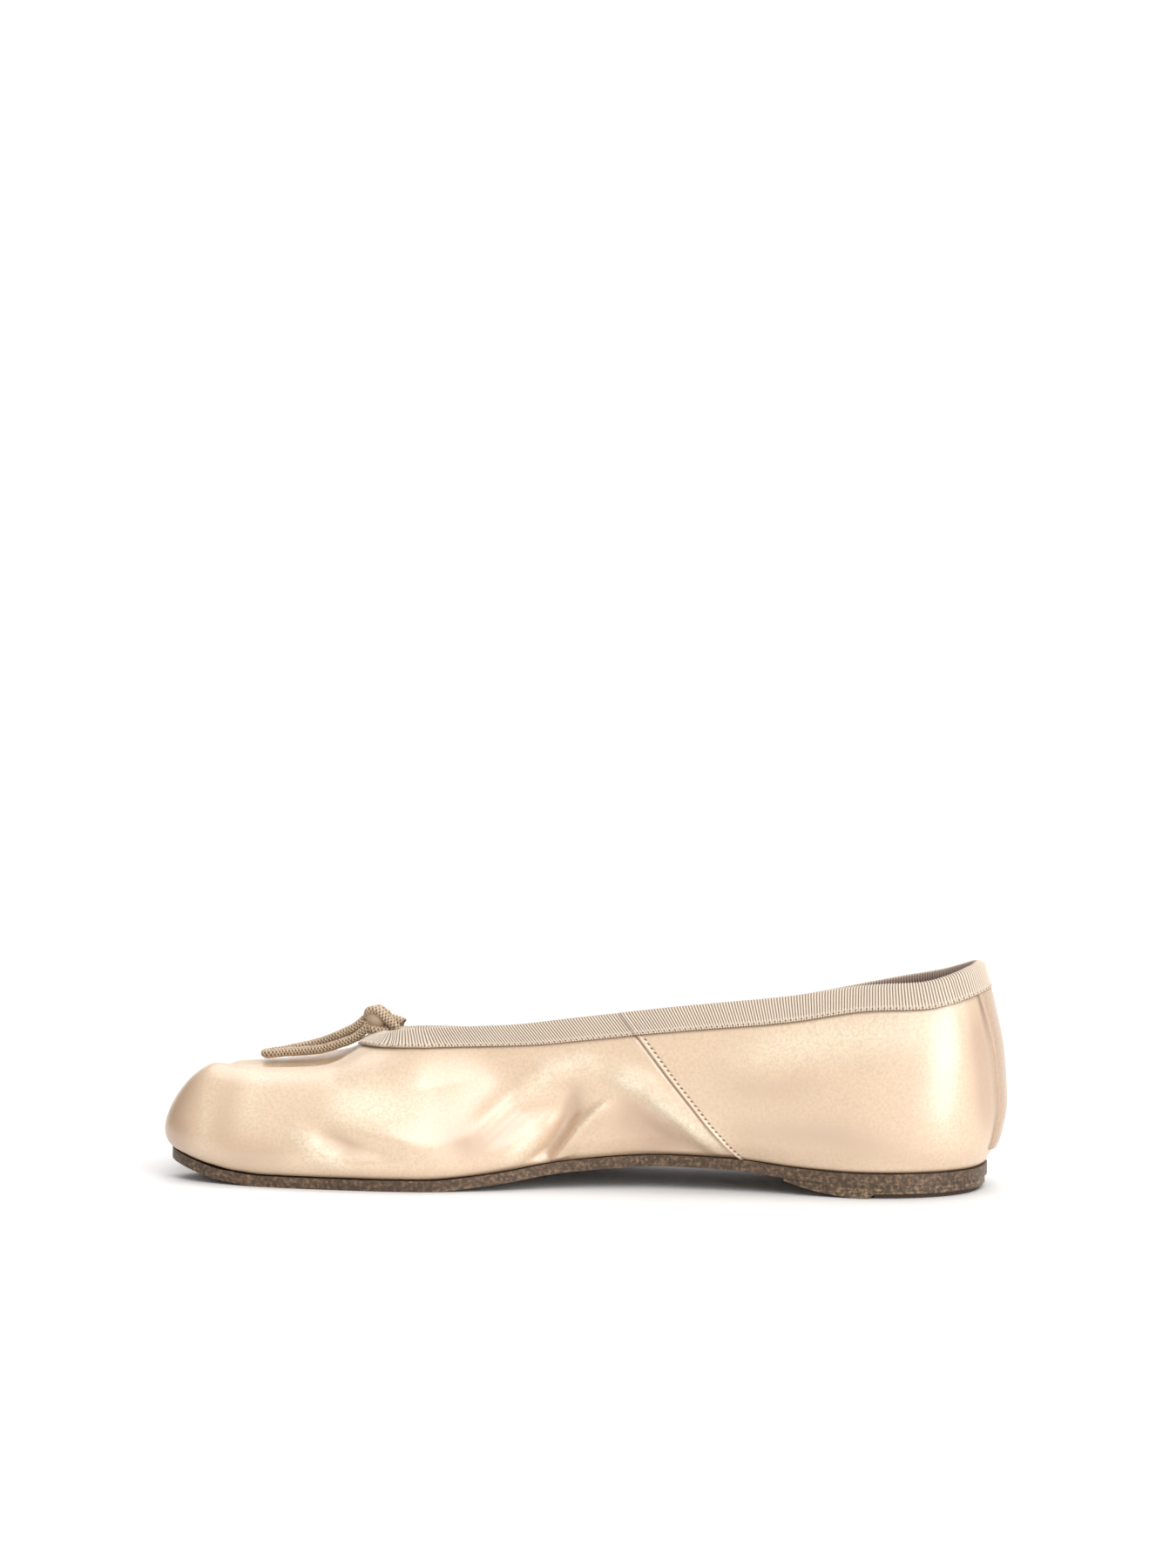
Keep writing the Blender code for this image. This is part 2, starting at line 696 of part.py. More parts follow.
def cord_object(name, route):
    """A cord along a route chosen by hand, as a tube on a smooth line through its points."""
    points = [Vector(point) for point in route]
    points = [2 * points[0] - points[1], *points, 2 * points[-1] - points[-2]]
    line = []
    for a, b, c, d in zip(points, points[1:], points[2:], points[3:]):
        count = max(1, round((c - b).length / cord_step))
        for step in range(count):
            t = step / count
            line.append(
                0.5
                * (
                    2 * b
                    + (c - a) * t
                    + (2 * a - 5 * b + 4 * c - d) * t**2
                    + (3 * b - a - 3 * c + d) * t**3
                )
            )
    line.append(points[-2])
    curve = bpy.data.curves.new(name, "CURVE")
    curve.dimensions = "3D"
    curve.bevel_depth = cord_diameter / 2
    curve.bevel_resolution = 2
    curve.use_fill_caps = True
    spline = curve.splines.new("POLY")
    spline.points.add(len(line) - 1)
    for point, place in zip(spline.points, line):
        point.co = (*place, 1)
    obj = bpy.data.objects.new(name, curve)
    shoe.objects.link(obj)
    curve.materials.append(braid)
    return obj


# A clean scene with one collection for the shoe and one for cutters
for old in list(bpy.data.objects):
    bpy.data.objects.remove(old)
shoe = bpy.data.collections.new("split_toe_ballet_flat")
cutters = bpy.data.collections.new("cutters")
for made in (shoe, cutters):
    bpy.context.scene.collection.children.link(made)
cutters.hide_render = True

satin = new_material("peach_satin", (0.90, 0.72, 0.56), 0.35)
grosgrain = new_material("taupe_grosgrain", (0.66, 0.56, 0.46), 0.65)
braid = new_material("brown_braid", (0.40, 0.29, 0.20), 0.7)
sole_leather = new_material("sole_leather", (0.24, 0.16, 0.11), 0.5)
lining = new_material("lining_leather", (0.55, 0.42, 0.32), 0.6)
rubber = new_material("dark_rubber", (0.07, 0.045, 0.03), 0.7)

# Outsole
sole_steps = (8, 16, 9, 6, 4, 3)
sole_cuts = strip_places[1:-1]
outsole_mesh = plate_mesh("outsole", outline_ring(0, sole_steps), sole_cuts)
bend_plate(outsole_mesh, sole_under, sole_over)
outsole = new_object("outsole", outsole_mesh, sole_leather)

# Insole
insole_inset = feather_inset + upper_wall + 2 * fit_gap
insole_mesh = plate_mesh("insole", outline_ring(insole_inset, sole_steps), sole_cuts)
bend_plate(
    insole_mesh,
    lambda x: sole_over(x) + fit_gap,
    lambda x: sole_over(x) + fit_gap + insole_thickness,
)
insole = new_object("insole", insole_mesh, lining)

# Upper
skin, quarter = upper_skin()
upper = new_object("upper", grid_mesh("upper", skin), satin)
shell = upper.modifiers.new("wall", "SOLIDIFY")
shell.thickness = upper_wall
shell.offset = -1

# Heel lift, with the bed of the rubber cut from it
lift_cuts = [x for x in strip_places if x > sole_back - lift_front + 0.001]
lift_mesh = plate_mesh("heel_lift", heel_outline(lift_front, lift_inset), lift_cuts)
bend_plate(lift_mesh, lift_under, lambda x: sole_under(x) - fit_gap)
heel_lift = new_object("heel_lift", lift_mesh, sole_leather)
bed_length, bed_width = rubber_front + bed_margin, heel_width + bed_margin
bed_height = rubber_thickness + fit_gap
bpy.ops.mesh.primitive_cube_add(size=1)
bed = taken_into(cutters, "rubber_bed_cutter")
bed.scale = (bed_length, bed_width, 2 * bed_height)
bed.location = (sole_back - rubber_front - fit_gap + bed_length / 2, 0, 0)
bed.hide_render = True
bed.display_type = "WIRE"
cut = heel_lift.modifiers.new("rubber_bed", "BOOLEAN")
cut.operation = "DIFFERENCE"
cut.object = bed

# Rubber top piece
rubber_mesh = plate_mesh("heel_top_piece", heel_outline(rubber_front, rubber_inset), [])
bend_plate(rubber_mesh, lambda x: 0, lambda x: rubber_thickness)
heel_top_piece = new_object("heel_top_piece", rubber_mesh, rubber)

# Topline binding, folded over the collar's edge
last_row = len(skin) - 1
head_gaps = np.linalg.norm(np.diff(skin[last_row], axis=0, append=skin[last_row, :1]), axis=1)
beside_step = (quarter != np.roll(quarter, 1)) | (quarter != np.roll(quarter, -1))
kept, gap_since = [], band_column_gap
for column, gap in enumerate(head_gaps):
    if gap_since >= band_column_gap or beside_step[column]:
        kept.append(column)
        gap_since = 0
    gap_since += gap
normals = face_normals(skin)
low_edge, middle, top = (skin[row, kept] for row in (-3, -2, -1))
low_out, middle_out, top_out = (normals[row, kept] for row in (-3, -2, -1))
upward = (top - middle) / np.linalg.norm(top - middle, axis=1)[:, None]
near_face, far_face = fit_gap, fit_gap + band_thickness
inner_near, inner_far = upper_wall + 2 * fit_gap, upper_wall + 2 * fit_gap + band_thickness
binding_grid = np.stack(
    [
        low_edge + low_out * far_face,
        middle + middle_out * far_face,
        top + top_out * far_face,
        top - top_out * upper_wall / 2 + upward * (far_face + fit_gap),
        top - top_out * inner_far,
        middle - middle_out * inner_far,
        low_edge - low_out * inner_far,
        low_edge - low_out * inner_near,
        middle - middle_out * inner_near,
        top - top_out * inner_near + upward * 2 * near_face,
        top + top_out * near_face + upward * 2 * near_face,
        middle + middle_out * near_face,
        low_edge + low_out * near_face,
    ]
)
binding = new_object(
    "topline_binding", grid_mesh("topline_binding", binding_grid, closed_down=True), grosgrain
)

# Heel tab, raised from the upper's own back columns
tab_range = range(-tab_columns, tab_columns + 1)
tab_skin = along_columns(skin, tab_range, tab_foot, last_row - 2)
tab_out = face_normals_of_strip(tab_skin)
tab_mesh = strip_mesh(
    "heel_tab", tab_skin + tab_out * fit_gap, tab_skin + tab_out * (fit_gap + tab_thickness)
)
heel_tab = new_object("heel_tab", tab_mesh, satin)

# Bow at the throat: its knot, the loop towards the toe, the loop over the lateral side, two ends
throat_height = back_height * topline_sections[0]["inner"] + 2 * fit_gap + far_face
knot_place = Vector((toe_end + throat_from_toe, 0, throat_height + knot_size[2] / 2))
bpy.ops.mesh.primitive_uv_sphere_add(segments=16, ring_count=10, radius=0.5)
knot = taken_into(shoe, "bow_knot")
knot.data.transform(Matrix.Diagonal((*knot_size, 1)))
knot.location = knot_place
knot.data.materials.append(braid)
knot.data.shade_smooth()
for name, route in bow_routes.items():
    cord_object(name, [knot_place + Vector(point) for point in route])

# The origin goes on the floor under the middle of the shoe, its bow aside
graph = bpy.context.evaluated_depsgraph_get()
corners = np.array(
    [
        tuple(corner)
        for obj in shoe.objects
        if not obj.name.startswith("bow")
        for corner in obj.evaluated_get(graph).bound_box
    ]
)
middle = (corners.min(axis=0) + corners.max(axis=0)) / 2
for obj in [*shoe.objects, *cutters.objects]:
    obj.location.x -= middle[0]
    obj.location.y -= middle[1]
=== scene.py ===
import math

import bmesh
import bpy
import numpy as np
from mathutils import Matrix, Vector


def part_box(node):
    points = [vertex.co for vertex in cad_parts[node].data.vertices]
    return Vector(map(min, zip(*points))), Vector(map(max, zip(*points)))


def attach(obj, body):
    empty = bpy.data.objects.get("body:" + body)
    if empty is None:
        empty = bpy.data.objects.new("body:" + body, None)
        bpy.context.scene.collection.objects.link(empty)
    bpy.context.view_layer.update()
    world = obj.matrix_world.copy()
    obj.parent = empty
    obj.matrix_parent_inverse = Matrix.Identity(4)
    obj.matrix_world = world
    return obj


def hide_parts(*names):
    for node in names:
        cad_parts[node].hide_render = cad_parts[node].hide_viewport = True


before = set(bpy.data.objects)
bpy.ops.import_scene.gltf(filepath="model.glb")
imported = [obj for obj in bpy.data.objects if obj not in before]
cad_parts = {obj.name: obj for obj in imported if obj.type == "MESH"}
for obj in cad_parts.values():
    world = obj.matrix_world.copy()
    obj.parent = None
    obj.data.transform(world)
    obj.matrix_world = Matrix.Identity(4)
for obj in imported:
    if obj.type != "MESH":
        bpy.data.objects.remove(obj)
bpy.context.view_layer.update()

# Split-toe ballet flat, right foot: satin upper, ribbed binding, braided bow, leather sole
# +X runs from toe to heel, -Y is the inner side, +Z is up, lengths are metres

studio = {
    "azimuth": 10.2,
    "elevation": 8.5,
    "distance": 8.0,
    "pixelsPerMetre": 3840,
    "frameHeight": 1800,
    "sensor": 36,
    "clip": (0.05, 40),
    "aimUp": 0.1176,
    "aimRight": -0.0015,
    "floorColour": (0.90, 0.90, 0.90),
    "floorRoughness": 0.9,
    "floorSide": 14.0,
    "floorFront": -14.0,
    "wallAt": 7.0,
    "wallCurve": 2.0,
    "wallSteps": 12,
    "wallHeight": 6.0,
    "worldStrength": 1.0,
    "brightWay": (0.70, -0.35, 0.62),
    "facingRange": (-0.5, 0.9),
    "skyRange": (0.08, 0.95),
}
# Wide suns stand for softboxes: each one's direction comes from its azimuth and height in degrees
lamps = (
    {"name": "frontBox", "azimuth": 22, "height": 44, "spread": 36, "strength": 1.05},
    {"name": "rightBox", "azimuth": 52, "height": 15, "spread": 30, "strength": 0.80},
    {"name": "topBox", "azimuth": 200, "height": 68, "spread": 50, "strength": 1.0},
)


def makeStudio():
    makeCamera()
    makeFloor()
    makeLight()
    bpy.context.scene.view_settings.view_transform = "Standard"
    print("studio ready")


def aimed(obj, place, target):
    # Stands an object at a place with its -Z axis towards the target
    bpy.context.scene.collection.objects.link(obj)
    obj.location = place
    obj.rotation_mode = "QUATERNION"
    obj.rotation_quaternion = (target - place).to_track_quat("-Z", "Y")


def makeCamera():
    back = towards(studio["azimuth"], studio["elevation"])
    view = (-back).to_track_quat("-Z", "Y")
    right, up = view @ Vector((1, 0, 0)), view @ Vector((0, 1, 0))
    data = bpy.data.cameras.new("camera")
    data.sensor_fit = "AUTO"
    data.sensor_width = studio["sensor"]
    focalPixels = studio["pixelsPerMetre"] * studio["distance"]
    data.lens = focalPixels / studio["frameHeight"] * studio["sensor"]
    data.clip_start, data.clip_end = studio["clip"]
    camera = bpy.data.objects.new("camera", data)
    aimed(camera, back * studio["distance"], up * studio["aimUp"] + right * studio["aimRight"])
    bpy.context.scene.camera = camera


def makeFloor():
    # A floor that curves up into a wall far behind the shoe
    corner, radius = studio["wallAt"] - studio["wallCurve"], studio["wallCurve"]
    profile = [(studio["floorFront"], 0.0), (corner, 0.0)]
    for turn in np.linspace(0, np.pi / 2, studio["wallSteps"] + 1)[1:]:
        profile.append((corner + radius * math.sin(turn), radius * (1 - math.cos(turn))))
    profile.append((studio["wallAt"], studio["wallHeight"]))
    half = studio["floorSide"] / 2
    points = [(side * half, y, z) for y, z in profile for side in (-1, 1)]
    faces = [(2 * i, 2 * i + 1, 2 * i + 3, 2 * i + 2) for i in range(len(profile) - 1)]
    mesh = bpy.data.meshes.new("studioFloor")
    mesh.from_pydata(points, [], faces)
    mesh.shade_smooth()
    floor = bpy.data.objects.new("studioFloor", mesh)
    bpy.context.scene.collection.objects.link(floor)
    material, tree, shader = newMaterial("studioFloor")
    colour = (*studio["floorColour"], 1)
    setSockets(tree, shader, {"Base Color": colour, "Roughness": studio["floorRoughness"]})
    mesh.materials.append(material)


def makeLight():
    for lamp in lamps:
        light = bpy.data.lights.new(lamp["name"], "SUN")
        light.energy, light.angle = lamp["strength"], math.radians(lamp["spread"])
        obj = bpy.data.objects.new(lamp["name"], light)
        aimed(obj, towards(lamp["azimuth"], lamp["height"]), Vector())

    # The room is bright over the heel and dim beyond the toe
    world = bpy.data.worlds.new("studio")
    world.use_nodes = True
    tree = world.node_tree
    facing = addNode(tree, "ShaderNodeVectorMath", operation="DOT_PRODUCT")
    plug(tree, facing.inputs[0], tree.nodes.new("ShaderNodeTexCoord").outputs["Generated"])
    plug(tree, facing.inputs[1], studio["brightWay"])
    glow = rangeOf(tree, facing.outputs["Value"], *studio["facingRange"], *studio["skyRange"])
    setSockets(tree, tree.nodes["Background"], {"Color": glow, "Strength": studio["worldStrength"]})
    bpy.context.scene.world = world


def towards(azimuth, height):
    # The direction from the shoe to a lamp or the camera; azimuth 0 is straight in front of the inner side
    turn, lift = math.radians(azimuth), math.radians(height)
    return Vector((math.sin(turn) * math.cos(lift), -math.cos(turn) * math.cos(lift), math.sin(lift)))


def newMaterial(name):
    made = bpy.data.materials.new(name)
    made.use_nodes = True
    return made, made.node_tree, made.node_tree.nodes["Principled BSDF"]


def objectPlace(tree):
    return tree.nodes.new("ShaderNodeTexCoord").outputs["Object"]


def plug(tree, socket, value):
    # Links another node's output to a socket, or sets the socket's own value
    if hasattr(value, "is_output"):
        tree.links.new(value, socket)
    else:
        socket.default_value = value


def setSockets(tree, node, values):
    for name, value in values.items():
        plug(tree, node.inputs[name], value)


def addNode(tree, kind, sockets=None, **settings):
    # A node with its settings, and with values or links on the sockets that are named
    node = tree.nodes.new(kind)
    for name, value in settings.items():
        setattr(node, name, value)
    setSockets(tree, node, sockets or {})
    return node


def outputOf(tree, kind, output, sockets=None, **settings):
    return addNode(tree, kind, sockets, **settings).outputs[output]


def blendColour(tree, share, first, second):
    # The colour that goes from first to second as share goes from 0 to 1
    node = addNode(tree, "ShaderNodeMix", data_type="RGBA")
    plug(tree, node.inputs[0], share)
    for socket, colour in ((node.inputs[6], first), (node.inputs[7], second)):
        plug(tree, socket, (*colour, 1) if isinstance(colour, tuple) else colour)
    return node.outputs[2]


def rangeOf(tree, value, fromLow, fromHigh, toLow=0.0, toHigh=1.0):
    sockets = {"Value": value, "From Min": fromLow, "From Max": fromHigh, "To Min": toLow, "To Max": toHigh}
    return outputOf(tree, "ShaderNodeMapRange", "Result", sockets)


def noiseOf(tree, place, scale, detail=2.0, roughness=0.5):
    sockets = {"Vector": place, "Scale": scale, "Detail": detail, "Roughness": roughness}
    return outputOf(tree, "ShaderNodeTexNoise", "Fac", sockets)


def bumped(tree, height, strength, distance, before=None):
    sockets = {"Height": height, "Strength": strength, "Distance": distance}
    if before is not None:
        sockets["Normal"] = before
    return outputOf(tree, "ShaderNodeBump", "Normal", sockets)


def attributeOf(tree, name):
    return outputOf(tree, "ShaderNodeAttribute", "Fac", attribute_name=name)


satin = {
    "rowsBelow": 84,
    "rowsAbove": 8,
    "rowCrowding": 0.6,
    "columnStep": 0.0013,
    "seamReach": 0.0040,
    "seamStep": 0.00022,
    "pleatFrom": -0.024,
    "pleatTo": 0.012,
    "pleatStep": 0.00045,
    "footFade": 0.06,
    "headFade": 0.80,
    "troughFoot": (-0.0015, 0.0040),
    "thickness": 0.0010,
    "innerStep": 3,
    "colour": (0.750, 0.565, 0.385),
    "shade": (0.600, 0.410, 0.265),
    # Colours of the painted highlights and the painted shade on the satin
    "paintedHighlight": (0.900, 0.780, 0.580),
    "paintedShadeColour": (0.520, 0.355, 0.235),
    # Colour of the painted shade along the satin's joins with sole, binding, seams and tab
    "paintedContactShade": (0.22, 0.12, 0.07),
    "cloudScale": 38,
    "speckScale": 1100,
    "threadScale": 1500.0,
    "threadHeight": 0.00004,
    "speckHeight": 0.00006,
    "roughness": 0.31,
    "refraction": 1.65,
    "sheen": 0.25,
    "sheenRoughness": 0.35,
    "sheenTint": (1.0, 0.88, 0.72, 1),
}


last = {
    "soleLength": 0.2430,
    "ballWidth": 0.0790,
    "waistWidth": 0.0500,
    "heelWidth": 0.0560,
    "soleThickness": 0.0033,
    "toeSpring": 0.0062,
    "archHeight": 0.0072,
    "heelHeight": 0.0041,
    "cleftLength": 0.0440,
    "cleftWidth": 0.0030,
    "cleftAcross": -0.0065,
    "toeTipPower": 2.3,
    "upperWall": 0.0016,
    "featherInset": 0.0014,
    "wallBulge": 0.0042,
    "bulgeHeight": 0.0260,
    "bulgeLean": 0.55,
    "cleftBulge": 0.0003,
    "cleftShoulder": 0.0120,
    "toeHeight": 0.0300,
    "lateralDrop": 0.0040,
    "instepHeight": 0.0405,
    "backHeight": 0.0664,
    "throatFromToe": 0.0590,
    "openingWidth": 0.0430,
    "openingBack": 0.0020,
    "seamFoot": 0.0705,
    "seamHead": 0.1060,
    "seamHalfWidth": 0.0006,
    "bandHeight": 0.0080,
    "tabHeadWidth": 0.0156,
    "tabFootWidth": 0.0076,
    "fitGap": 0.0003,
    "collarRound": 0.024,
    "collarLead": 0.002,
    "soleBackRound": 0.034,
    "backPower": 2.2,
    "sideBelly": 0.0042,
    "heelBelly": 0.0062,
    "throatRound": 0.0160,
    "toplinePower": 2.2,
    "toeEnd": -0.1240,
    "tabColumns": 2,
    "soleStrips": 26,
    "quarterBlend": (-0.045, 0.005),
}
medial, lateral = -1, 1
soleBack = last["toeEnd"] + last["soleLength"]
stripPlaces = np.linspace(last["toeEnd"], soleBack, last["soleStrips"] + 1)

# Plan of the sole: place along it from the toe, width there, and the share of it on the medial side
planSections = (
    {"along": 0.00, "width": 0.80 * last["ballWidth"], "medial": 0.50},
    {"along": 0.10, "width": 0.88 * last["ballWidth"], "medial": 0.50},
    {"along": 0.20, "width": 0.965 * last["ballWidth"], "medial": 0.495},
    {"along": 0.30, "width": 1.00 * last["ballWidth"], "medial": 0.485},
    {"along": 0.40, "width": 0.93 * last["ballWidth"], "medial": 0.455},
    {"along": 0.50, "width": 1.18 * last["waistWidth"], "medial": 0.415},
    {"along": 0.60, "width": 1.02 * last["waistWidth"], "medial": 0.405},
    {"along": 0.70, "width": 1.02 * last["waistWidth"], "medial": 0.44},
    {"along": 0.80, "width": 0.97 * last["heelWidth"], "medial": 0.48},
    {"along": 0.87, "width": 1.00 * last["heelWidth"], "medial": 0.50},
    {"along": 1.00, "width": 0.98 * last["heelWidth"], "medial": 0.50},
)

# Rise of the sole's underside over the floor, as shares of three named heights
riseSections = (
    {"along": 0.000, "toe": 1.00, "arch": 0.00, "heel": 0.00},
    {"along": 0.033, "toe": 0.55, "arch": 0.00, "heel": 0.00},
    {"along": 0.070, "toe": 0.19, "arch": 0.00, "heel": 0.00},
    {"along": 0.125, "toe": 0.00, "arch": 0.00, "heel": 0.00},
    {"along": 0.330, "toe": 0.00, "arch": 0.00, "heel": 0.00},
    {"along": 0.400, "toe": 0.00, "arch": 0.22, "heel": 0.00},
    {"along": 0.500, "toe": 0.00, "arch": 0.74, "heel": 0.00},
    {"along": 0.620, "toe": 0.00, "arch": 1.00, "heel": 0.00},
    {"along": 0.700, "toe": 0.00, "arch": 0.85, "heel": 0.18},
    {"along": 0.780, "toe": 0.00, "arch": 0.30, "heel": 0.70},
    {"along": 0.860, "toe": 0.00, "arch": 0.00, "heel": 1.02},
    {"along": 1.000, "toe": 0.00, "arch": 0.00, "heel": 1.00},
)

# The two toe pods: across is the tip's place, back how far it lies behind the toe end,
# outer and inner how far back its rounding runs on the two sides
toePods = {
    medial: {"across": -0.0190, "back": 0.0000, "outer": 0.034, "inner": 0.014},
    lateral: {"across": 0.0085, "back": 0.0030, "outer": 0.052, "inner": 0.014},
}

# The last over the forefoot: height of its ridge over the feather line, reach of its shoulder,
# and how much of their full drop the lateral toes have
vampSections = (
    {"along": 0.00, "ridge": 0.94 * last["toeHeight"], "shoulder": 0.0155, "lower": 1.0},
    {"along": 0.06, "ridge": 1.14 * last["toeHeight"], "shoulder": 0.0160, "lower": 1.0},
    {"along": 0.12, "ridge": 1.15 * last["toeHeight"], "shoulder": 0.0190, "lower": 0.6},
    {"along": 0.19, "ridge": 0.89 * last["instepHeight"], "shoulder": 0.0240, "lower": 0.2},
    {"along": 0.24, "ridge": 1.00 * last["instepHeight"], "shoulder": 0.0290, "lower": 0.0},
    {"along": 0.33, "ridge": 1.08 * last["instepHeight"], "shoulder": 0.0320, "lower": 0.0},
    {"along": 0.50, "ridge": 1.20 * last["instepHeight"], "shoulder": 0.0330, "lower": 0.0},
)

# Topline from throat to back seam: half width and height on the two sides
toplineSections = (
    {"along": 0.00, "medial": 0.80, "lateral": 0.80, "inner": 0.625, "outer": 0.625},
    {"along": 0.06, "medial": 0.84, "lateral": 0.84, "inner": 0.673, "outer": 0.620},
    {"along": 0.17, "medial": 0.95, "lateral": 0.95, "inner": 0.699, "outer": 0.615},
    {"along": 0.26, "medial": 1.00, "lateral": 1.00, "inner": 0.718, "outer": 0.625},
    {"along": 0.35, "medial": 1.00, "lateral": 1.02, "inner": 0.752, "outer": 0.645},
    {"along": 0.52, "medial": 0.99, "lateral": 1.03, "inner": 0.812, "outer": 0.702},
    {"along": 0.70, "medial": 0.95, "lateral": 0.98, "inner": 0.866, "outer": 0.795},
    {"along": 0.84, "medial": 0.90, "lateral": 0.90, "inner": 0.925, "outer": 0.880},
    {"along": 0.93, "medial": 0.90, "lateral": 0.90, "inner": 0.942, "outer": 0.930},
    {"along": 1.00, "medial": 0.90, "lateral": 0.90, "inner": 1.000, "outer": 1.000},
)

# Share of the band's height that the binding takes at places along the shoe
bandSections = (
    {"x": -0.060, "share": 0.72},
    {"x": -0.040, "share": 0.74},
    {"x": 0.014, "share": 0.84},
    {"x": 0.045, "share": 0.80},
    {"x": 0.085, "share": 0.78},
    {"x": 0.110, "share": 0.82},
    {"x": 0.130, "share": 0.84},
)

# Side wall behind the throat: how far its path lies out of the straight line from foot to topline
wallSections = (
    {"up": 0.00, "out": 0.00},
    {"up": 0.15, "out": 0.72},
    {"up": 0.32, "out": 1.00},
    {"up": 0.55, "out": 0.90},
    {"up": 0.80, "out": 0.48},
    {"up": 1.00, "out": 0.00},
)


def hermite(t, step, first, second, leaving, arriving):
    # The cubic curve from first to second, with its slope at both ends
    return (
        (1 + 2 * t) * (1 - t) ** 2 * first
        + t * (1 - t) ** 2 * step * leaving
        + t**2 * (3 - 2 * t) * second
        - t**2 * (1 - t) * step * arriving
    )


def smoothTable(rows, key, value, place):
    # Values between the rows of a table, on a curve that never swings past them
    x = np.array([row[key] for row in rows])
    y = np.array([row[value] for row in rows])
    step = np.diff(x)
    slope = np.diff(y) / step
    tangent = np.zeros(len(x))
    before, after = slope[:-1], slope[1:]
    sameWay = before * after > 0
    tangent[1:-1][sameWay] = (2 * before * after)[sameWay] / (before + after)[sameWay]
    tangent[0], tangent[-1] = slope[0], slope[-1]
    at = np.clip(place, x[0], x[-1])
    i = np.clip(np.searchsorted(x, at) - 1, 0, len(step) - 1)
    return hermite((at - x[i]) / step[i], step[i], y[i], y[i + 1], tangent[i], tangent[i + 1])


def smoothStep(value, low, high):
    t = np.clip((value - low) / (high - low), 0, 1)
    return t * t * (3 - 2 * t)


def bell(off, reach):
    # 1 where nothing is off, and falling away on both sides over the reach
    return np.exp(-((off / reach) ** 2))


def alongSole(x):
    return (np.asarray(x) - last["toeEnd"]) / last["soleLength"]


def edge(side, x, inset=0.0):
    # Y of the sole's edge on one side, without the rounding of toe and heel
    along = alongSole(x)
    width = smoothTable(planSections, "along", "width", along)
    share = smoothTable(planSections, "along", "medial", along)
    return side * (width * (share if side == medial else 1 - share) - inset)


def softUnder(x):
    # Height of the sole's underside over the floor, as one soft curve
    along = alongSole(x)
    rises = (("toe", last["toeSpring"]), ("arch", last["archHeight"]), ("heel", last["heelHeight"]))
    return sum(size * smoothTable(riseSections, "along", name, along) for name, size in rises)


def soleUnder(x):
    # The same height, bent between the straight strips of the CAD model
    return np.interp(x, stripPlaces, softUnder(stripPlaces))


def soleOver(x):
    return soleUnder(x) + last["soleThickness"]


def roundEnd(steps, power):
    # Shares of depth and breadth round a quarter of a rounded end, from its side to its tip
    turn = np.linspace(0, np.pi / 2, steps)
    return 1 - np.sin(turn) ** (2 / power), np.abs(np.cos(turn)) ** (2 / power)


def halfOutline(side, inset=0.0, steps=40):
    # Named stretches of one half of the sole's outline, from the back seam to the end of the cleft
    pod = toePods[side]
    back, depth = soleBack - inset, last["soleBackRound"] - inset
    tip = last["toeEnd"] + pod["back"] + inset
    outer, inner = pod["outer"] - inset, pod["inner"] - inset
    wall = last["cleftAcross"] + side * (last["cleftWidth"] / 2 + inset)
    cleftEnd = last["toeEnd"] + last["cleftLength"] + inset
    bottomRadius = last["cleftWidth"] / 2 + inset

    shareX, shareY = (part[::-1] for part in roundEnd(steps, last["backPower"]))
    x = back - shareX * depth
    heel = np.stack([x, shareY * edge(side, x, inset)], axis=1)

    x = np.linspace(back - depth, tip + outer, 3 * steps)
    flank = np.stack([x, edge(side, x, inset)], axis=1)

    shareX, shareY = roundEnd(steps, last["toeTipPower"])
    x = tip + shareX * outer
    outside = np.stack([x, pod["across"] + shareY * (edge(side, x, inset) - pod["across"])], axis=1)

    shareX, shareY = (part[::-1] for part in roundEnd(steps, last["toeTipPower"]))
    x = tip + shareX * inner
    inside = np.stack([x, pod["across"] + shareY * (wall - pod["across"])], axis=1)

    x = np.linspace(tip + inner, cleftEnd - bottomRadius, steps)
    cleft = np.stack([x, np.full(steps, wall)], axis=1)

    turn = np.linspace(0, np.pi / 2, steps)
    bottom = np.stack(
        [
            cleftEnd - bottomRadius + bottomRadius * np.sin(turn),
            last["cleftAcross"] + side * bottomRadius * np.cos(turn),
        ],
        axis=1,
    )
    return {
        "heel": heel,
        "flank": flank,
        "outside": outside,
        "inside": inside,
        "cleft": cleft,
        "bottom": bottom,
    }


def joined(stretches):
    line = np.concatenate(list(stretches))
    keep = np.concatenate([[True], np.linalg.norm(np.diff(line, axis=0), axis=1) > 1e-7])
    return line[keep]


def lengths(line):
    return np.concatenate([[0], np.cumsum(np.linalg.norm(np.diff(line, axis=0), axis=1))])


def sampled(values, way, wanted):
    # Vectors that stand at lengths along a line, read between them at the wanted lengths
    return np.stack([np.interp(wanted, way, values[:, k]) for k in range(values.shape[1])], axis=1)


def atLength(line, wanted):
    return sampled(line, lengths(line), wanted)


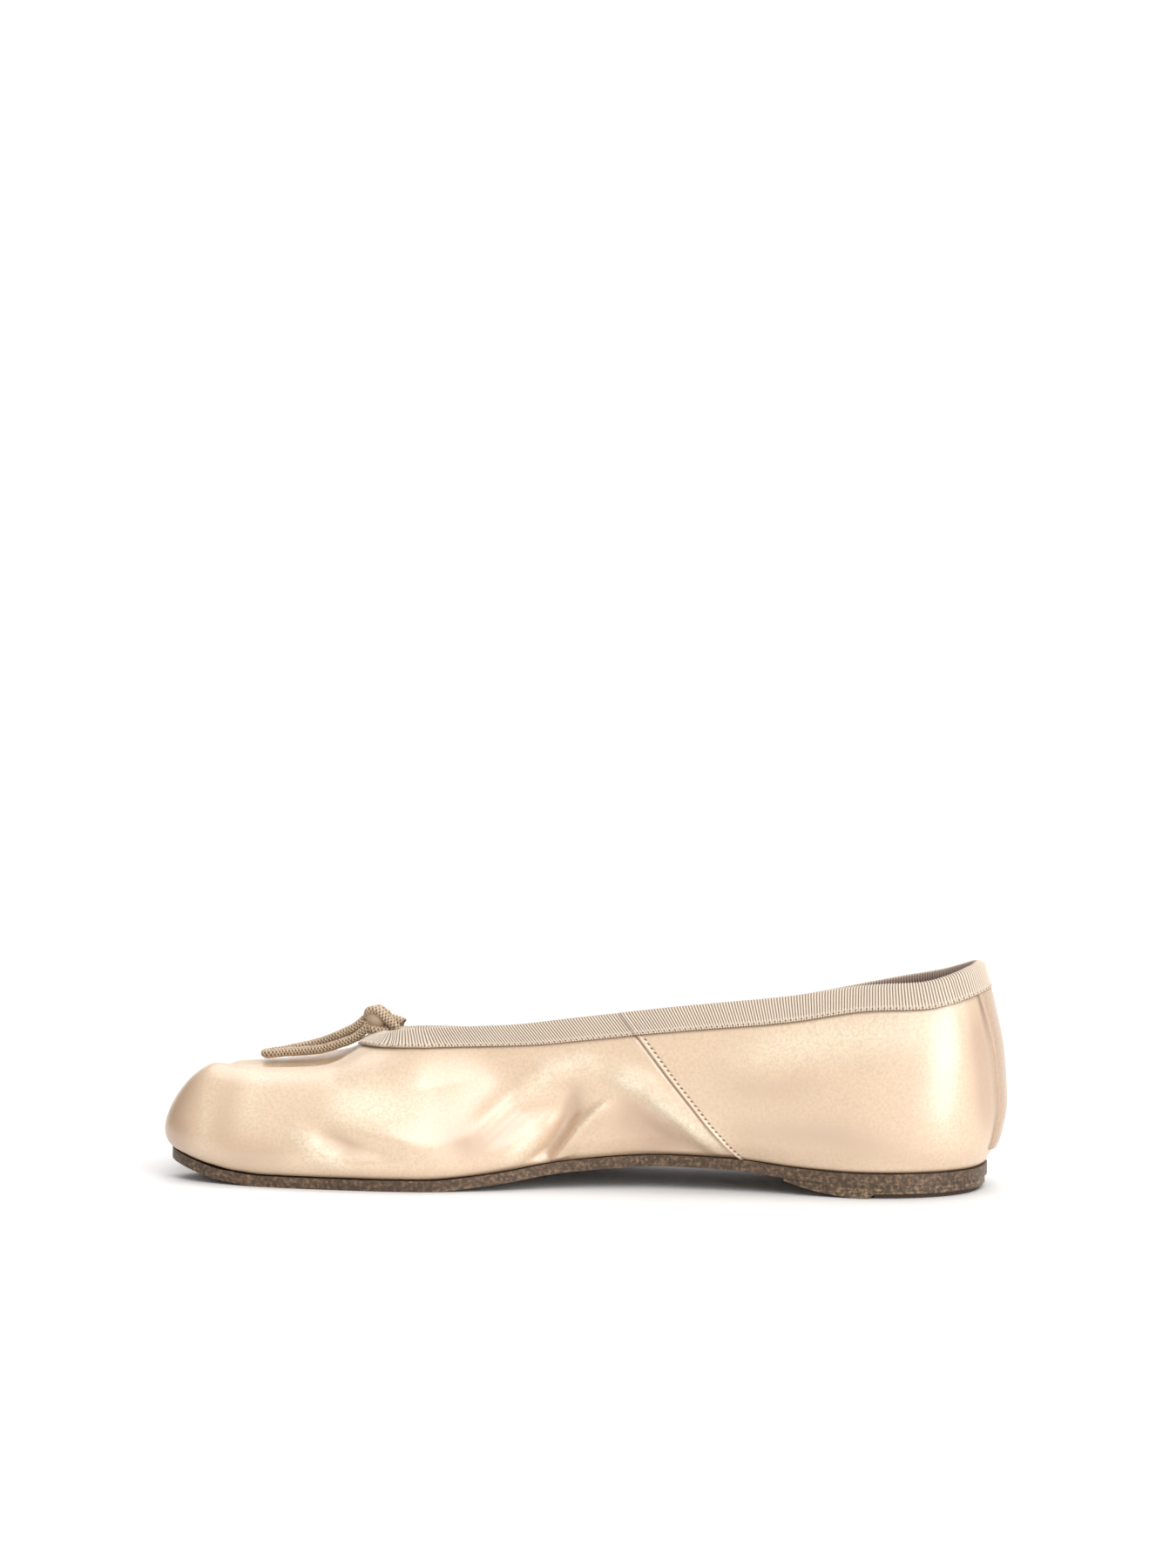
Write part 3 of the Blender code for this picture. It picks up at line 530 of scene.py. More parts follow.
def halfTopline(side, steps=60):
    # One half of the collar's edge, from the back seam to the middle of the throat
    half, height = ("medial", "inner") if side == medial else ("lateral", "outer")
    front, back = last["toeEnd"] + last["throatFromToe"], soleBack - last["openingBack"]
    shareX, shareY = (part[::-1] for part in roundEnd(steps, last["backPower"]))
    xBack = back - shareX * last["collarRound"]
    xFrontShare, yFront = roundEnd(steps, last["toplinePower"])
    xFront = front + xFrontShare * last["throatRound"]
    xMiddle = np.linspace(xBack[-1], xFront[0], 3 * steps)[1:-1]
    x = np.concatenate([xBack, xMiddle, xFront])
    breadth = np.concatenate([shareY, np.ones(len(xMiddle)), yFront])
    place = (x - front) / (back - front)
    y = side * breadth * last["openingWidth"] / 2 * smoothTable(toplineSections, "along", half, place)
    z = last["backHeight"] * smoothTable(toplineSections, "along", height, place)
    return np.stack([x, y, z], axis=1)


def halfColumns(side):
    # Lengths along the outline and along the topline at which the upper's columns stand
    stretches = halfOutline(side, last["featherInset"])
    outline = joined(stretches.values())
    topline = halfTopline(side)
    ends = np.cumsum([lengths(line)[-1] for line in stretches.values()])
    way, edgeWay = lengths(outline), lengths(topline)
    onFlank = way <= ends[1]
    beforeThroat = topline[:, 0] > last["toeEnd"] + last["throatFromToe"] + last["throatRound"]

    def footAt(x):
        return float(np.interp(-x, -outline[onFlank, 0], way[onFlank]))

    def headAt(x):
        return float(np.interp(-x, -topline[beforeThroat, 0], edgeWay[beforeThroat]))

    seam = footAt(soleBack - last["seamFoot"])
    seamTop = headAt(soleBack - last["seamHead"])
    corner = headAt(last["toeEnd"] + last["throatFromToe"] + last["throatRound"])
    rest = edgeWay[-1] - corner
    collarEnd = headAt(soleBack - last["soleBackRound"] - last["collarLead"])
    stops = (
        {"foot": 0.0, "head": 0.0, "columns": last["tabColumns"]},
        {"foot": last["tabFootWidth"] / 2, "head": last["tabHeadWidth"] / 2, "columns": 5},
        {"foot": ends[0], "head": collarEnd, "columns": 7},
        {"foot": seam - last["seamHalfWidth"], "head": seamTop - last["seamHalfWidth"], "columns": 1},
        {"foot": seam + last["seamHalfWidth"], "head": seamTop + last["seamHalfWidth"], "columns": 12},
        {"foot": footAt(last["toeEnd"] + 0.38 * last["soleLength"]), "head": corner, "columns": 5},
        {"foot": ends[1], "head": corner + 0.35 * rest, "columns": 8},
        {"foot": ends[2], "head": corner + 0.60 * rest, "columns": 6},
        {"foot": ends[3], "head": corner + 0.74 * rest, "columns": 4},
        {"foot": ends[4], "head": corner + 0.90 * rest, "columns": 2},
        {"foot": ends[5], "head": edgeWay[-1], "columns": 0},
    )
    feet = []
    for stop, after in zip(stops, stops[1:]):
        feet.append(np.linspace(stop["foot"], after["foot"], stop["columns"], endpoint=False))
    feet = np.concatenate([*feet, [ends[5]]])
    heads = smoothTable(stops, "foot", "head", feet)
    return atLength(outline, feet), atLength(topline, heads), feet, seam


def awayFrom(points, line):
    # Distance of each point, in plan, from a line
    start, step = line[:-1], np.diff(line, axis=0)
    offset = points[..., None, :2] - start
    share = np.clip((offset * step).sum(-1) / (step**2).sum(-1), 0, 1)
    return np.linalg.norm(offset - share[..., None] * step, axis=-1).min(-1)


def planPaths(foot, head, wanted):
    # Plan of each column at shares of its way from foot to head: paths that never cross
    rows, rounds = 24, 600
    t = np.linspace(0, 1, rows)[:, None, None]
    straight = 0.42 * np.linalg.norm(head - foot, axis=1)
    reach = np.minimum(straight, last["cleftShoulder"])[:, None]
    leave = foot - outward(foot) * reach
    arrive = head - np.array([reach[:, 0], 0 * reach[:, 0]]).T * (1 - backWeight(foot[:, 0]))[:, None]
    path = (1 - t) ** 3 * foot + 3 * t * (1 - t) ** 2 * leave + 3 * t**2 * (1 - t) * arrive + t**3 * head
    # Each round moves the points towards a grid whose lines spread smoothly and stay apart
    for _ in range(rounds):
        east, west = np.roll(path, -1, axis=1)[1:-1], np.roll(path, 1, axis=1)[1:-1]
        north, south = path[2:], path[:-2]
        along, up = (east - west) / 2, (north - south) / 2
        corner = np.roll(north, -1, axis=1) - np.roll(north, 1, axis=1)
        corner = (corner - np.roll(south, -1, axis=1) + np.roll(south, 1, axis=1)) / 4
        alpha = (up**2).sum(-1, keepdims=True) + 1e-12
        beta = (along * up).sum(-1, keepdims=True)
        gamma = (along**2).sum(-1, keepdims=True) + 1e-12
        inner = alpha * (east + west) + gamma * (north + south) - 2 * beta * corner
        path[1:-1] = inner / (2 * (alpha + gamma))
    fine = wanted * (rows - 1)
    i = np.minimum(fine.astype(int), rows - 2)
    share = (fine - i)[:, None, None]
    return path[i] * (1 - share) + path[i + 1] * share


def vampHeight(points, outline, cleft):
    # Height of the last's upper face over the forefoot at places in plan
    along = alongSole(points[..., 0])
    ridge = smoothTable(vampSections, "along", "ridge", along)
    beyond = np.clip((points[..., 1] - last["cleftAcross"]) / last["cleftShoulder"], 0, 1)
    ridge = ridge - beyond * last["lateralDrop"] * smoothTable(vampSections, "along", "lower", along)
    shoulder = smoothTable(vampSections, "along", "shoulder", along)
    outer = np.clip(awayFrom(points, outline) / shoulder, 0, 1)
    inner = np.clip(awayFrom(points, cleft) / last["cleftShoulder"], 0, 1)
    rises = [np.sqrt(1 - (1 - part) ** 2) + 1e-4 for part in (outer, inner)]
    softest = 6
    rise = (rises[0] ** -softest + rises[1] ** -softest) ** (-1 / softest)
    return soleOver(points[..., 0]) + last["fitGap"] + ridge * rise


def outward(line):
    # Unit normals of a closed plan line, pointing away from the shoe's inside
    along = np.roll(line, -1, axis=0) - np.roll(line, 1, axis=0)
    normal = np.stack([-along[:, 1], along[:, 0]], axis=1)
    return normal / np.linalg.norm(normal, axis=1)[:, None]


def lineThrough(near, far, names):
    # The named stretches of both halves of the outline as one line
    halves = [joined([half[name] for name in names]) for half in (near, far)]
    if names[0] == "heel":
        return joined([halves[1][::-1], halves[0]])
    return joined([halves[0], halves[1][::-1]])


def ring(sideValues):
    # Two half rings, each from the back seam to the cleft, as one closed ring
    first, second = sideValues
    return np.concatenate([first, second[-2:0:-1]])


def closerAtEnds(steps):
    # From 0 to 1 in steps that are shorter at both ends
    share = np.linspace(0, 1, steps + 1)
    return share - satin["rowCrowding"] * np.sin(2 * np.pi * share) / (2 * np.pi)


def upperColumns(samples=120):
    # The upper's outer face without its seams: rows of columns of XYZ, each column's way along its half
    # from the back seam, and the seam's way on both halves
    halves = [halfColumns(side) for side in (medial, lateral)]
    foot = ring([half[0] for half in halves])
    head = ring([half[1] for half in halves])
    way = ring([half[2] for half in halves])
    seam = np.concatenate(
        [np.full(len(half[2]) - cut, half[3]) for half, cut in zip(halves, (0, 2))]
    )
    near, far = (halfOutline(side, last["featherInset"]) for side in (medial, lateral))
    outline = lineThrough(near, far, ("heel", "flank", "outside"))
    cleft = lineThrough(near, far, ("inside", "cleft", "bottom"))
    cleftWalls = lineThrough(near, far, ("cleft", "bottom"))
    normal = outward(foot)
    low = soleOver(foot[:, 0]) + last["fitGap"]
    share = np.linspace(0, 1, samples)[:, None]

    # The forefoot follows the last's ridge and shoulders, less a bulge over the sole's edge
    t = share**2.5
    plan = planPaths(foot, head[:, :2], t[:, 0])
    height = vampHeight(plan, outline, cleft)
    height = height + (low - height[0]) * (1 - t) ** 4
    height = height + (head[:, 2] - height[-1]) * t**2
    up = np.clip((height - low) / last["bulgeHeight"], 0, 1)
    besideCleft = np.clip(awayFrom(foot, cleftWalls) / last["cleftShoulder"], 0, 1)
    bulge = last["cleftBulge"] + (last["wallBulge"] - last["cleftBulge"]) * besideCleft
    front = plan + normal * (bulge * np.sin(np.pi * up ** last["bulgeLean"]))[..., None]
    front = np.concatenate([front, height[..., None]], axis=2)

    # The quarters rise as a bellied wall
    straight = foot + (head[:, :2] - foot) * share[..., None]
    belly = last["sideBelly"] + (last["heelBelly"] - last["sideBelly"]) * np.clip(normal[:, 0], 0, 1) ** 2
    out = smoothTable(wallSections, "up", "out", share) * belly
    rise = low + (head[:, 2] - low) * share
    wall = np.concatenate([straight + normal * out[..., None], rise[..., None]], axis=2)

    # Rows at even shares of the way up to the binding's edge, then over the binding's height
    weight = backWeight(foot[:, 0])
    rows = []
    for column in range(len(foot)):
        lines = [
            atLength(line, share[:, 0] * lengths(line)[-1])
            for line in (front[:, column], wall[:, column])
        ]
        line = lines[0] * (1 - weight[column]) + lines[1] * weight[column]
        total = lengths(line)[-1]
        band = last["bandHeight"] * float(smoothTable(bandSections, "x", "share", head[column, 0]))
        below = (total - band) * closerAtEnds(satin["rowsBelow"])
        above = np.linspace(total - band, total, satin["rowsAbove"] + 1)[1:]
        rows.append(atLength(line, np.concatenate([below, above])))
    return np.stack(rows, axis=1), way, seam


def backWeight(x):
    # 0 over the forefoot and 1 behind it
    return smoothStep(x, *last["quarterBlend"])


def faceNormals(skin):
    across = np.roll(skin, -1, axis=1) - np.roll(skin, 1, axis=1)
    up = np.gradient(skin, axis=0)
    normal = np.cross(up, across)
    return normal / np.linalg.norm(normal, axis=2)[..., None]


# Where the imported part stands, against the table's own axes
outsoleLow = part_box("outsole")[0]
outlineLow = min(halfOutline(medial)["flank"][:, 1].min(), halfOutline(medial)["outside"][:, 1].min())
shift = np.array([outsoleLow.x - last["toeEnd"], outsoleLow.y - outlineLow, 0.0])


def cubicAt(values, places, wanted, around):
    # Values, whose second axis runs round a closed ring, on a smooth curve at wanted places
    step = np.diff(np.append(places, places[0] + around))
    slope = (np.roll(values, -1, axis=1) - values) / step[None, :, None]
    before, after = np.roll(step, 1), step
    tangent = (
        np.roll(slope, 1, axis=1) * after[None, :, None] + slope * before[None, :, None]
    ) / (before + after)[None, :, None]
    wanted = np.mod(wanted - places[0], around) + places[0]
    i = np.clip(np.searchsorted(places, wanted, side="right") - 1, 0, len(places) - 1)
    following = (i + 1) % len(places)
    t = ((wanted - places[i]) / step[i])[None, :, None]
    width = step[i][None, :, None]
    return hermite(t, width, values[:, i], values[:, following], tangent[:, i], tangent[:, following])


# The upper's face as smooth columns round the shoe: a place on the ring is its way from the back seam
columns, columnWay, columnSeam = upperColumns()
halfWay = [joined(halfOutline(side, last["featherInset"]).values()) for side in (medial, lateral)]
halfWay = [float(lengths(line)[-1]) for line in halfWay]
around = sum(halfWay)
nearCount = int(np.argmax(columnWay >= halfWay[0] - 1e-6)) + 1
ringPlaces = np.concatenate([columnWay[:nearCount], around - columnWay[nearCount:]])
seamPlaces = (columnSeam[0], around - columnSeam[-1])


def faceAt(places):
    return cubicAt(columns, ringPlaces, places, around)


def rowPlaces():
    # 0 at the sole's feather line, 1 at the binding's lower edge and 2 at the topline
    below, above = satin["rowsBelow"], satin["rowsAbove"]
    return np.concatenate([closerAtEnds(below), 1 + np.linspace(0, 1, above + 1)[1:]])


def creasedFace(places):
    # The satin's face with its folds and seam, and its normals
    face = faceAt(places)
    normals = faceNormals(face)
    share = rowPlaces()
    fade = smoothStep(share, 0.0, satin["footFade"]) * (1 - smoothStep(share, satin["headFade"], 1.0))
    folds = bothQuarters(face, places, satinFolds) / 1000
    # The troughs run out at the satin's foot, so that it stays over the insole's edge
    low = face[:, :, 2] - face[0, :, 2]
    folds = np.where(folds < 0, folds * smoothStep(low, *satin["troughFoot"]), folds)
    fromFoot = smoothStep(share, *seamFold["fromFoot"])[:, None]
    steps = np.broadcast_to(stepHeight(places), face.shape[:2]) * fromFoot
    return face + normals * (folds * fade[:, None] + steps)[..., None], normals


def stepHeight(places):
    # Rise of the rear quarter over the vamp at its folded front edge, with a dip along the stitches
    height = np.zeros(len(places))
    for seam, behind in ((seamPlaces[0], seamPlaces[0] - places), (seamPlaces[1], places - seamPlaces[1])):
        fold = seamFold["rise"] * smoothStep(behind, 0, seamFold["edge"])
        puff = seamFold["puff"] * bell(behind - seamFold["puffBack"], seamFold["puffWidth"])
        dip = seamFold["dip"] * bell(behind - seamFold["stitchBack"], seamFold["dipWidth"])
        groove = seamFold["groove"] * bell(behind + seamFold["grooveAhead"], seamFold["edge"])
        onSide = (places < around / 2) == (seam < around / 2)
        height += np.where(onSide, fold + puff * (behind > 0) - dip - groove, 0)
    return height


def softMarks(points, side, marks):
    # Marks along lines on one side of the shoe, in millimetres of X and Z, each fading across and at its ends
    total = np.zeros(points.shape[:-1])
    x, z = points[..., 0] * 1000, points[..., 2] * 1000
    for mark in marks:
        line = np.array(mark["line"], float)
        run = np.linalg.norm(np.diff(line, axis=0), axis=1)
        start = np.concatenate([[0], np.cumsum(run)])
        nearest = np.full(x.shape, 1e6)
        along, off = np.zeros(x.shape), np.zeros(x.shape)
        for i in range(len(run)):
            # The first and the last stretch reach on beyond the line's ends
            way = (line[i + 1] - line[i]) / run[i]
            fromX, fromZ = x - line[i, 0], z - line[i, 1]
            low = -1e6 if i == 0 else 0
            high = 1e6 if i == len(run) - 1 else run[i]
            held = np.clip(fromX * way[0] + fromZ * way[1], low, high)
            distance = np.hypot(fromX - held * way[0], fromZ - held * way[1])
            closer = distance < nearest
            nearest = np.where(closer, distance, nearest)
            along = np.where(closer, (start[i] + held) / start[-1], along)
            leftOf = fromX * way[1] - fromZ * way[0] < 0
            off = np.where(closer, np.where(leftOf, -distance, distance), off)
        fade = smoothStep(along, -mark["ends"], mark["ends"])
        fade = fade * smoothStep(-along, -1 - mark["ends"], -1 + mark["ends"])
        left, right = mark["width"]
        size = mark["size"] if side == medial else mark["size"] * markShareOutside
        total += size * bell(off, np.where(off > 0, right, left)) * fade
    return total


def bothQuarters(points, places, marks):
    return np.where(places < around / 2, softMarks(points, medial, marks), softMarks(points, lateral, marks))


seamFold = {
    "rise": 0.00060,
    "edge": 0.00030,
    "fromFoot": (-0.01, 0.015),
    "puff": 0.00042,
    "puffBack": 0.00085,
    "puffWidth": 0.0005,
    "dip": 0.00012,
    "dipWidth": 0.00028,
    "groove": 0.00030,
    "grooveAhead": 0.0003,
    "stitchBack": 0.0017,
    "stitchFromFoot": 0.0012,
    "stitchFromHead": 0.0006,
    "stitchPitch": 0.00166,
    "stitchLength": 0.00125,
    "stitchThickness": 0.00046,
    "stitchOut": 0.15,
    "slant": 0.55,
    "thread": ((0.240, 0.155, 0.100), (0.150, 0.095, 0.060)),
}

# How much of its size a fold or a patch of painted light has on the outer side of the shoe
markShareOutside = 0.7

# Folds in millimetres of X and Z, from foot to head: size is how far they stand out, and width is to the
# left and right of their way
satinFolds = (
    {  # pleat at the arch: its sharp edge
        "line": ((-9.6, 5.5), (-7.4, 9.5), (-3.6, 14.3), (0.3, 19.4), (4.2, 23.2), (8.5, 26.5)),
        "size": 2.0, "width": (0.7, 3.4), "ends": 0.16,
    },
    {  # pleat: the deep valley in front of its edge
        "line": ((-12.6, 5.5), (-10.4, 9.0), (-7.0, 14.0), (-3.6, 19.0), (-0.9, 23.5)),
        "size": -2.3, "width": (3.2, 1.9), "ends": 0.22,
    },
    {  # hollow above the pleat
        "line": ((-4.5, 21.0), (-1.5, 26.5), (0.5, 30.5)),
        "size": -1.3, "width": (4.5, 4.5), "ends": 0.40,
    },
    {  # roll over the mouth of the pleat
        "line": ((-20.0, 8.5), (-16.0, 14.0), (-11.5, 20.0)),
        "size": 0.8, "width": (5.5, 4.5), "ends": 0.40,
    },
    {  # tent over the arch, front leg
        "line": ((-29.0, 17.5), (-19.5, 27.0), (-10.0, 33.8), (0.8, 36.4)),
        "size": 1.5, "width": (4.4, 3.4), "ends": 0.28,
    },
    {  # valley under the front leg
        "line": ((-36.0, 10.0), (-29.0, 13.0), (-20.4, 20.2), (-11.6, 27.4), (-4.5, 30.5)),
        "size": -0.8, "width": (4.0, 4.0), "ends": 0.25,
    },
    {  # tent over the arch, back leg
        "line": ((43.0, 12.5), (31.0, 22.8), (20.0, 31.5), (10.0, 35.4)),
        "size": 1.8, "width": (2.8, 4.4), "ends": 0.26,
    },
    {  # hollow under the back leg
        "line": ((34.0, 11.5), (22.0, 18.0), (11.0, 27.0)),
        "size": -1.4, "width": (4.5, 4.0), "ends": 0.35,
    },
    {  # forefoot, upper crest
        "line": ((-46.0, 14.0), (-57.0, 17.6), (-67.4, 20.4), (-77.0, 22.0)),
        "size": 1.0, "width": (3.6, 5.0), "ends": 0.35,
    },
    {  # forefoot, valley below that crest
        "line": ((-52.0, 11.5), (-61.0, 13.2), (-72.5, 16.2)),
        "size": -0.95, "width": (2.8, 2.6), "ends": 0.35,
    },
    {  # forefoot, lower crest
        "line": ((-60.0, 7.5), (-70.0, 8.2), (-77.0, 11.6), (-81.5, 16.5)),
        "size": 0.85, "width": (3.0, 2.6), "ends": 0.35,
    },
)

# Painted highlights (above 0) and painted shade (below 0) on the satin's face, in the same terms
paintedSatinLight = (
    {"line": ((-112, 12), (-112, 30)), "size": 0.30, "width": (2.0, 2.4), "ends": 0.3},
    {"line": ((-106, 10), (-105, 34)), "size": -0.35, "width": (4.0, 4.0), "ends": 0.3},
    {"line": ((-99, 16), (-98, 34)), "size": 0.30, "width": (3.5, 4.5), "ends": 0.3},
    {"line": ((-104, 9), (-94, 9), (-86, 9)), "size": -0.60, "width": (5.0, 4.0), "ends": 0.3},
    {"line": ((-72, 25), (-62, 26), (-52, 23)), "size": 1.00, "width": (6.0, 6.0), "ends": 0.3},
    {"line": ((-83, 17), (-77, 11.5), (-68, 9)), "size": 0.80, "width": (2.6, 2.6), "ends": 0.3},
    {"line": ((-73, 17.5), (-63, 12)), "size": -0.80, "width": (2.6, 2.6), "ends": 0.4},
    {"line": ((-47, 35), (-46, 17)), "size": 0.50, "width": (6.0, 6.0), "ends": 0.4},
    {"line": ((-38, 19), (-31, 14), (-22, 17), (-15, 23)), "size": -0.70, "width": (3.8, 3.8), "ends": 0.3},
    {"line": ((-20, 8), (-12, 20)), "size": 0.50, "width": (3.5, 3.0), "ends": 0.4},
    {"line": ((-17, 27), (-8, 36), (1.7, 39.5), (9, 37)), "size": 0.60, "width": (3.0, 3.0), "ends": 0.3},
    {"line": ((13, 35), (18, 31)), "size": 1.00, "width": (3.0, 3.0), "ends": 0.5},
    {"line": ((17, 32), (27, 25), (41, 14.5)), "size": 1.00, "width": (3.2, 3.2), "ends": 0.3},
    {"line": ((-9.5, 9), (-5.5, 15), (-2.5, 22), (-1, 29)), "size": -1.60, "width": (2.6, 2.6), "ends": 0.3},
    {
        "line": ((-9.6, 5.5), (-3.6, 14.3), (0.3, 19.4), (8.5, 26.5)),
        "size": 0.90, "width": (0.4, 0.7), "ends": 0.2,
    },
    {"line": ((11, 24), (20, 18.5), (29, 12)), "size": -1.10, "width": (6.0, 5.5), "ends": 0.3},
    {"line": ((52, 42), (72, 47), (104, 52)), "size": 0.60, "width": (6.0, 6.0), "ends": 0.3},
    {"line": ((46, 33), (58, 32), (73, 34)), "size": -0.40, "width": (5.0, 5.0), "ends": 0.3},
    {"line": ((52, 20), (75, 19), (100, 14)), "size": -0.60, "width": (5.0, 5.0), "ends": 0.3},
    {"line": ((109, 50), (110, 17)), "size": 0.45, "width": (5.0, 5.0), "ends": 0.3},
    {"line": ((117.5, 54), (120.5, 38), (122, 20)), "size": -1.20, "width": (2.8, 2.8), "ends": 0.3},
    {"line": ((-120, 8), (-122, 20), (-117, 32)), "size": -1.00, "width": (4.5, 4.5), "ends": 0.3},
)


def denseRing():
    # Places of the satin's columns: closer beside the two seams and the pleats at the arch
    places = []
    for start, end in zip(ringPlaces, np.append(ringPlaces[1:], around)):
        spacing = satin["columnStep"]
        middle = (start + end) / 2
        if min(abs(middle - seam) for seam in seamPlaces) < satin["seamReach"]:
            spacing = satin["seamStep"]
        x = np.interp(middle, ringPlaces, columns[0, :, 0])
        if satin["pleatFrom"] < x < satin["pleatTo"]:
            spacing = satin["pleatStep"]
        count = max(1, math.ceil((end - start) / spacing))
        places.append(np.linspace(start, end, count, endpoint=False))
    return np.concatenate(places)


def ringMesh(name, grid):
    # A closed skin over rows of closed rings, the last row joined to the first
    rows, count = grid.shape[:2]
    faces = []
    for i in range(rows):
        nextRow = (i + 1) % rows * count
        row = i * count
        for j in range(count):
            nextColumn = (j + 1) % count
            faces.append((row + j, nextRow + j, nextRow + nextColumn, row + nextColumn))
    mesh = bpy.data.meshes.new(name)
    mesh.from_pydata(grid.reshape(-1, 3).tolist(), [], faces)
    return mesh


def addPiece(name, mesh, material, nodes=(), sharpAt=None):
    # A finished object on the shoe's one body, in place of its CAD nodes
    obj = bpy.data.objects.new(name, mesh)
    bpy.context.scene.collection.objects.link(obj)
    if material is not None:
        mesh.materials.append(material)
    mesh.shade_smooth()
    if sharpAt:
        mesh.set_sharp_from_angle(angle=math.radians(sharpAt))
    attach(obj, "root")
    if nodes:
        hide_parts(*nodes)
    print(name, len(mesh.polygons), "faces")
    return obj


def setAttribute(mesh, name, values):
    attribute = mesh.attributes.new(name, "FLOAT", "POINT")
    attribute.data.foreach_set("value", np.asarray(values, np.float32).ravel())


def satinMaterial(name, colour, shade):
    made, tree, shader = newMaterial(name)
    place = objectPlace(tree)
    clouds = noiseOf(tree, place, satin["cloudScale"], 2)
    specks = noiseOf(tree, place, satin["speckScale"], 3, 0.75)
    threads = outputOf(
        tree, "ShaderNodeTexWave", "Fac",
        {"Vector": place, "Scale": satin["threadScale"], "Distortion": 1.5, "Detail": 1.0},
        wave_type="BANDS", bands_direction="DIAGONAL",
    )
    paintedLight = attributeOf(tree, "paintedLight")
    layers = (
        (rangeOf(tree, clouds, 0.35, 0.65, 0.0, 0.22), shade),
        # Painted highlights and painted shade in patches over the face
        (rangeOf(tree, paintedLight, 0.0, 1.0), satin["paintedHighlight"]),
        (rangeOf(tree, paintedLight, -1.0, 0.0, 1.0, 0.0), satin["paintedShadeColour"]),
        (rangeOf(tree, specks, 0.36, 0.60, 0.55, 0.0), shade),
        # Painted shade along the joins with sole, binding, seams and tab
        (attributeOf(tree, "paintedContactShade"), satin["paintedContactShade"]),
    )
    for share, over in layers:
        colour = blendColour(tree, share, colour, over)
    rough = satin["roughness"]
    grain = bumped(tree, threads, 0.10, satin["threadHeight"])
    finish = {
        "Base Color": colour,
        "Roughness": rangeOf(tree, clouds, 0.3, 0.7, rough - 0.03, rough + 0.05),
        "IOR": satin["refraction"],
        "Specular IOR Level": 1.0,
        "Sheen Weight": satin["sheen"],
        "Sheen Roughness": satin["sheenRoughness"],
        "Sheen Tint": satin["sheenTint"],
        "Normal": bumped(tree, specks, 0.30, satin["speckHeight"], grain),
    }
    setSockets(tree, shader, finish)
    return made


# Painted shade lines on the satin beside sole, binding, seams and tab: their strength and how far they reach
contactShade = {
    "sole": 0.55,
    "soleReach": 0.0009,
    "band": 0.75,
    "bandReach": 0.0005,
    "wallHeight": 0.045,
    "seam": 0.85,
    "seamReach": 0.00034,
    "seamAhead": 0.0001,
    "tab": 0.9,
    "tabOff": 0.0007,
    "tabReach": 0.00080,
    "tabColumns": 22,
    "most": 0.9,
}


def makeUpper():
    places = denseRing()
    outer, normals = creasedFace(places)
    rows, count = outer.shape[:2]
    innerRows = np.arange(rows - 1, -1, -satin["innerStep"])
    innerRows = np.append(innerRows[innerRows > 0], 0)
    inner = outer[innerRows] - normals[innerRows] * satin["thickness"]
    mesh = ringMesh("satinUpper", np.concatenate([outer, inner]) + shift)
    unseen = np.zeros((len(innerRows), count))
    # Painted shade along the satin's joins, kept as a colour attribute
    paintedContactShade = np.clip(paintedContactLines(outer, places), 0, contactShade["most"])
    setAttribute(mesh, "paintedContactShade", np.concatenate([paintedContactShade, unseen]))
    # Painted highlights and painted shade in patches, kept as a colour attribute
    paintedLight = np.clip(bothQuarters(outer, places, paintedSatinLight), -1, 1)
    setAttribute(mesh, "paintedLight", np.concatenate([paintedLight, unseen]))
    material = satinMaterial("peachSatin", satin["colour"], satin["shade"])
    addPiece("satinUpper", mesh, material, ["upper"])


def paintedContactLines(face, places):
    # Strength of the painted shade lines where the satin meets binding, sole, seam and tab
    rowShare = rowPlaces()
    paintedContactShade = contactShade["sole"] * bell(face[:, :, 2] - face[0, :, 2], contactShade["soleReach"])
    belowBand = np.clip(1 - rowShare, 0, 1)[:, None] * contactShade["wallHeight"]
    paintedContactShade += contactShade["band"] * bell(belowBand, contactShade["bandReach"]) * (rowShare <= 1)[:, None]
    for seam, way in zip(seamPlaces, (1, -1)):
        behind = (seam - places) * way
        paintedContactShade += contactShade["seam"] * bell(behind + contactShade["seamAhead"], contactShade["seamReach"])
    return paintedContactShade + tabEdge(face)


def tabEdge(face):
    # Shade on the satin beside the heel tab's two sides
    shade = np.zeros(face.shape[:2])
    heights = face[: satin["rowsBelow"] + 1, 0, 2]
    foot = np.interp(tab["footHeight"], heights, np.arange(len(heights)))
    for i in range(len(face)):
        half = tabHalfWidth(np.clip((i - foot) / (satin["rowsBelow"] - foot), 0, 1))
        fromFoot = smoothStep(i, foot - 1, foot + 1)
        for way in (1, -1):
            line = face[i] if way > 0 else np.roll(face[i][::-1], 1, axis=0)
            near = line[: contactShade["tabColumns"]]
            off = lengths(near) - half - contactShade["tabOff"]
            strength = contactShade["tab"] * bell(off, contactShade["tabReach"]) * fromFoot
            columnsThere = np.arange(len(near)) * way
            shade[i, columnsThere] = np.maximum(shade[i, columnsThere], strength)
    return shade


lining = {
    "rows": 40,
    "gap": 0.00005,
    "thickness": 0.0005,
    "leather": {
        "colour": (0.60, 0.47, 0.36),
        "shade": (0.50, 0.38, 0.28),
        "roughness": 0.6,
        "grainScale": 1400,
        "grainDepth": 0.00006,
        "specks": 0.25,
        "layers": 0.0,
    },
}


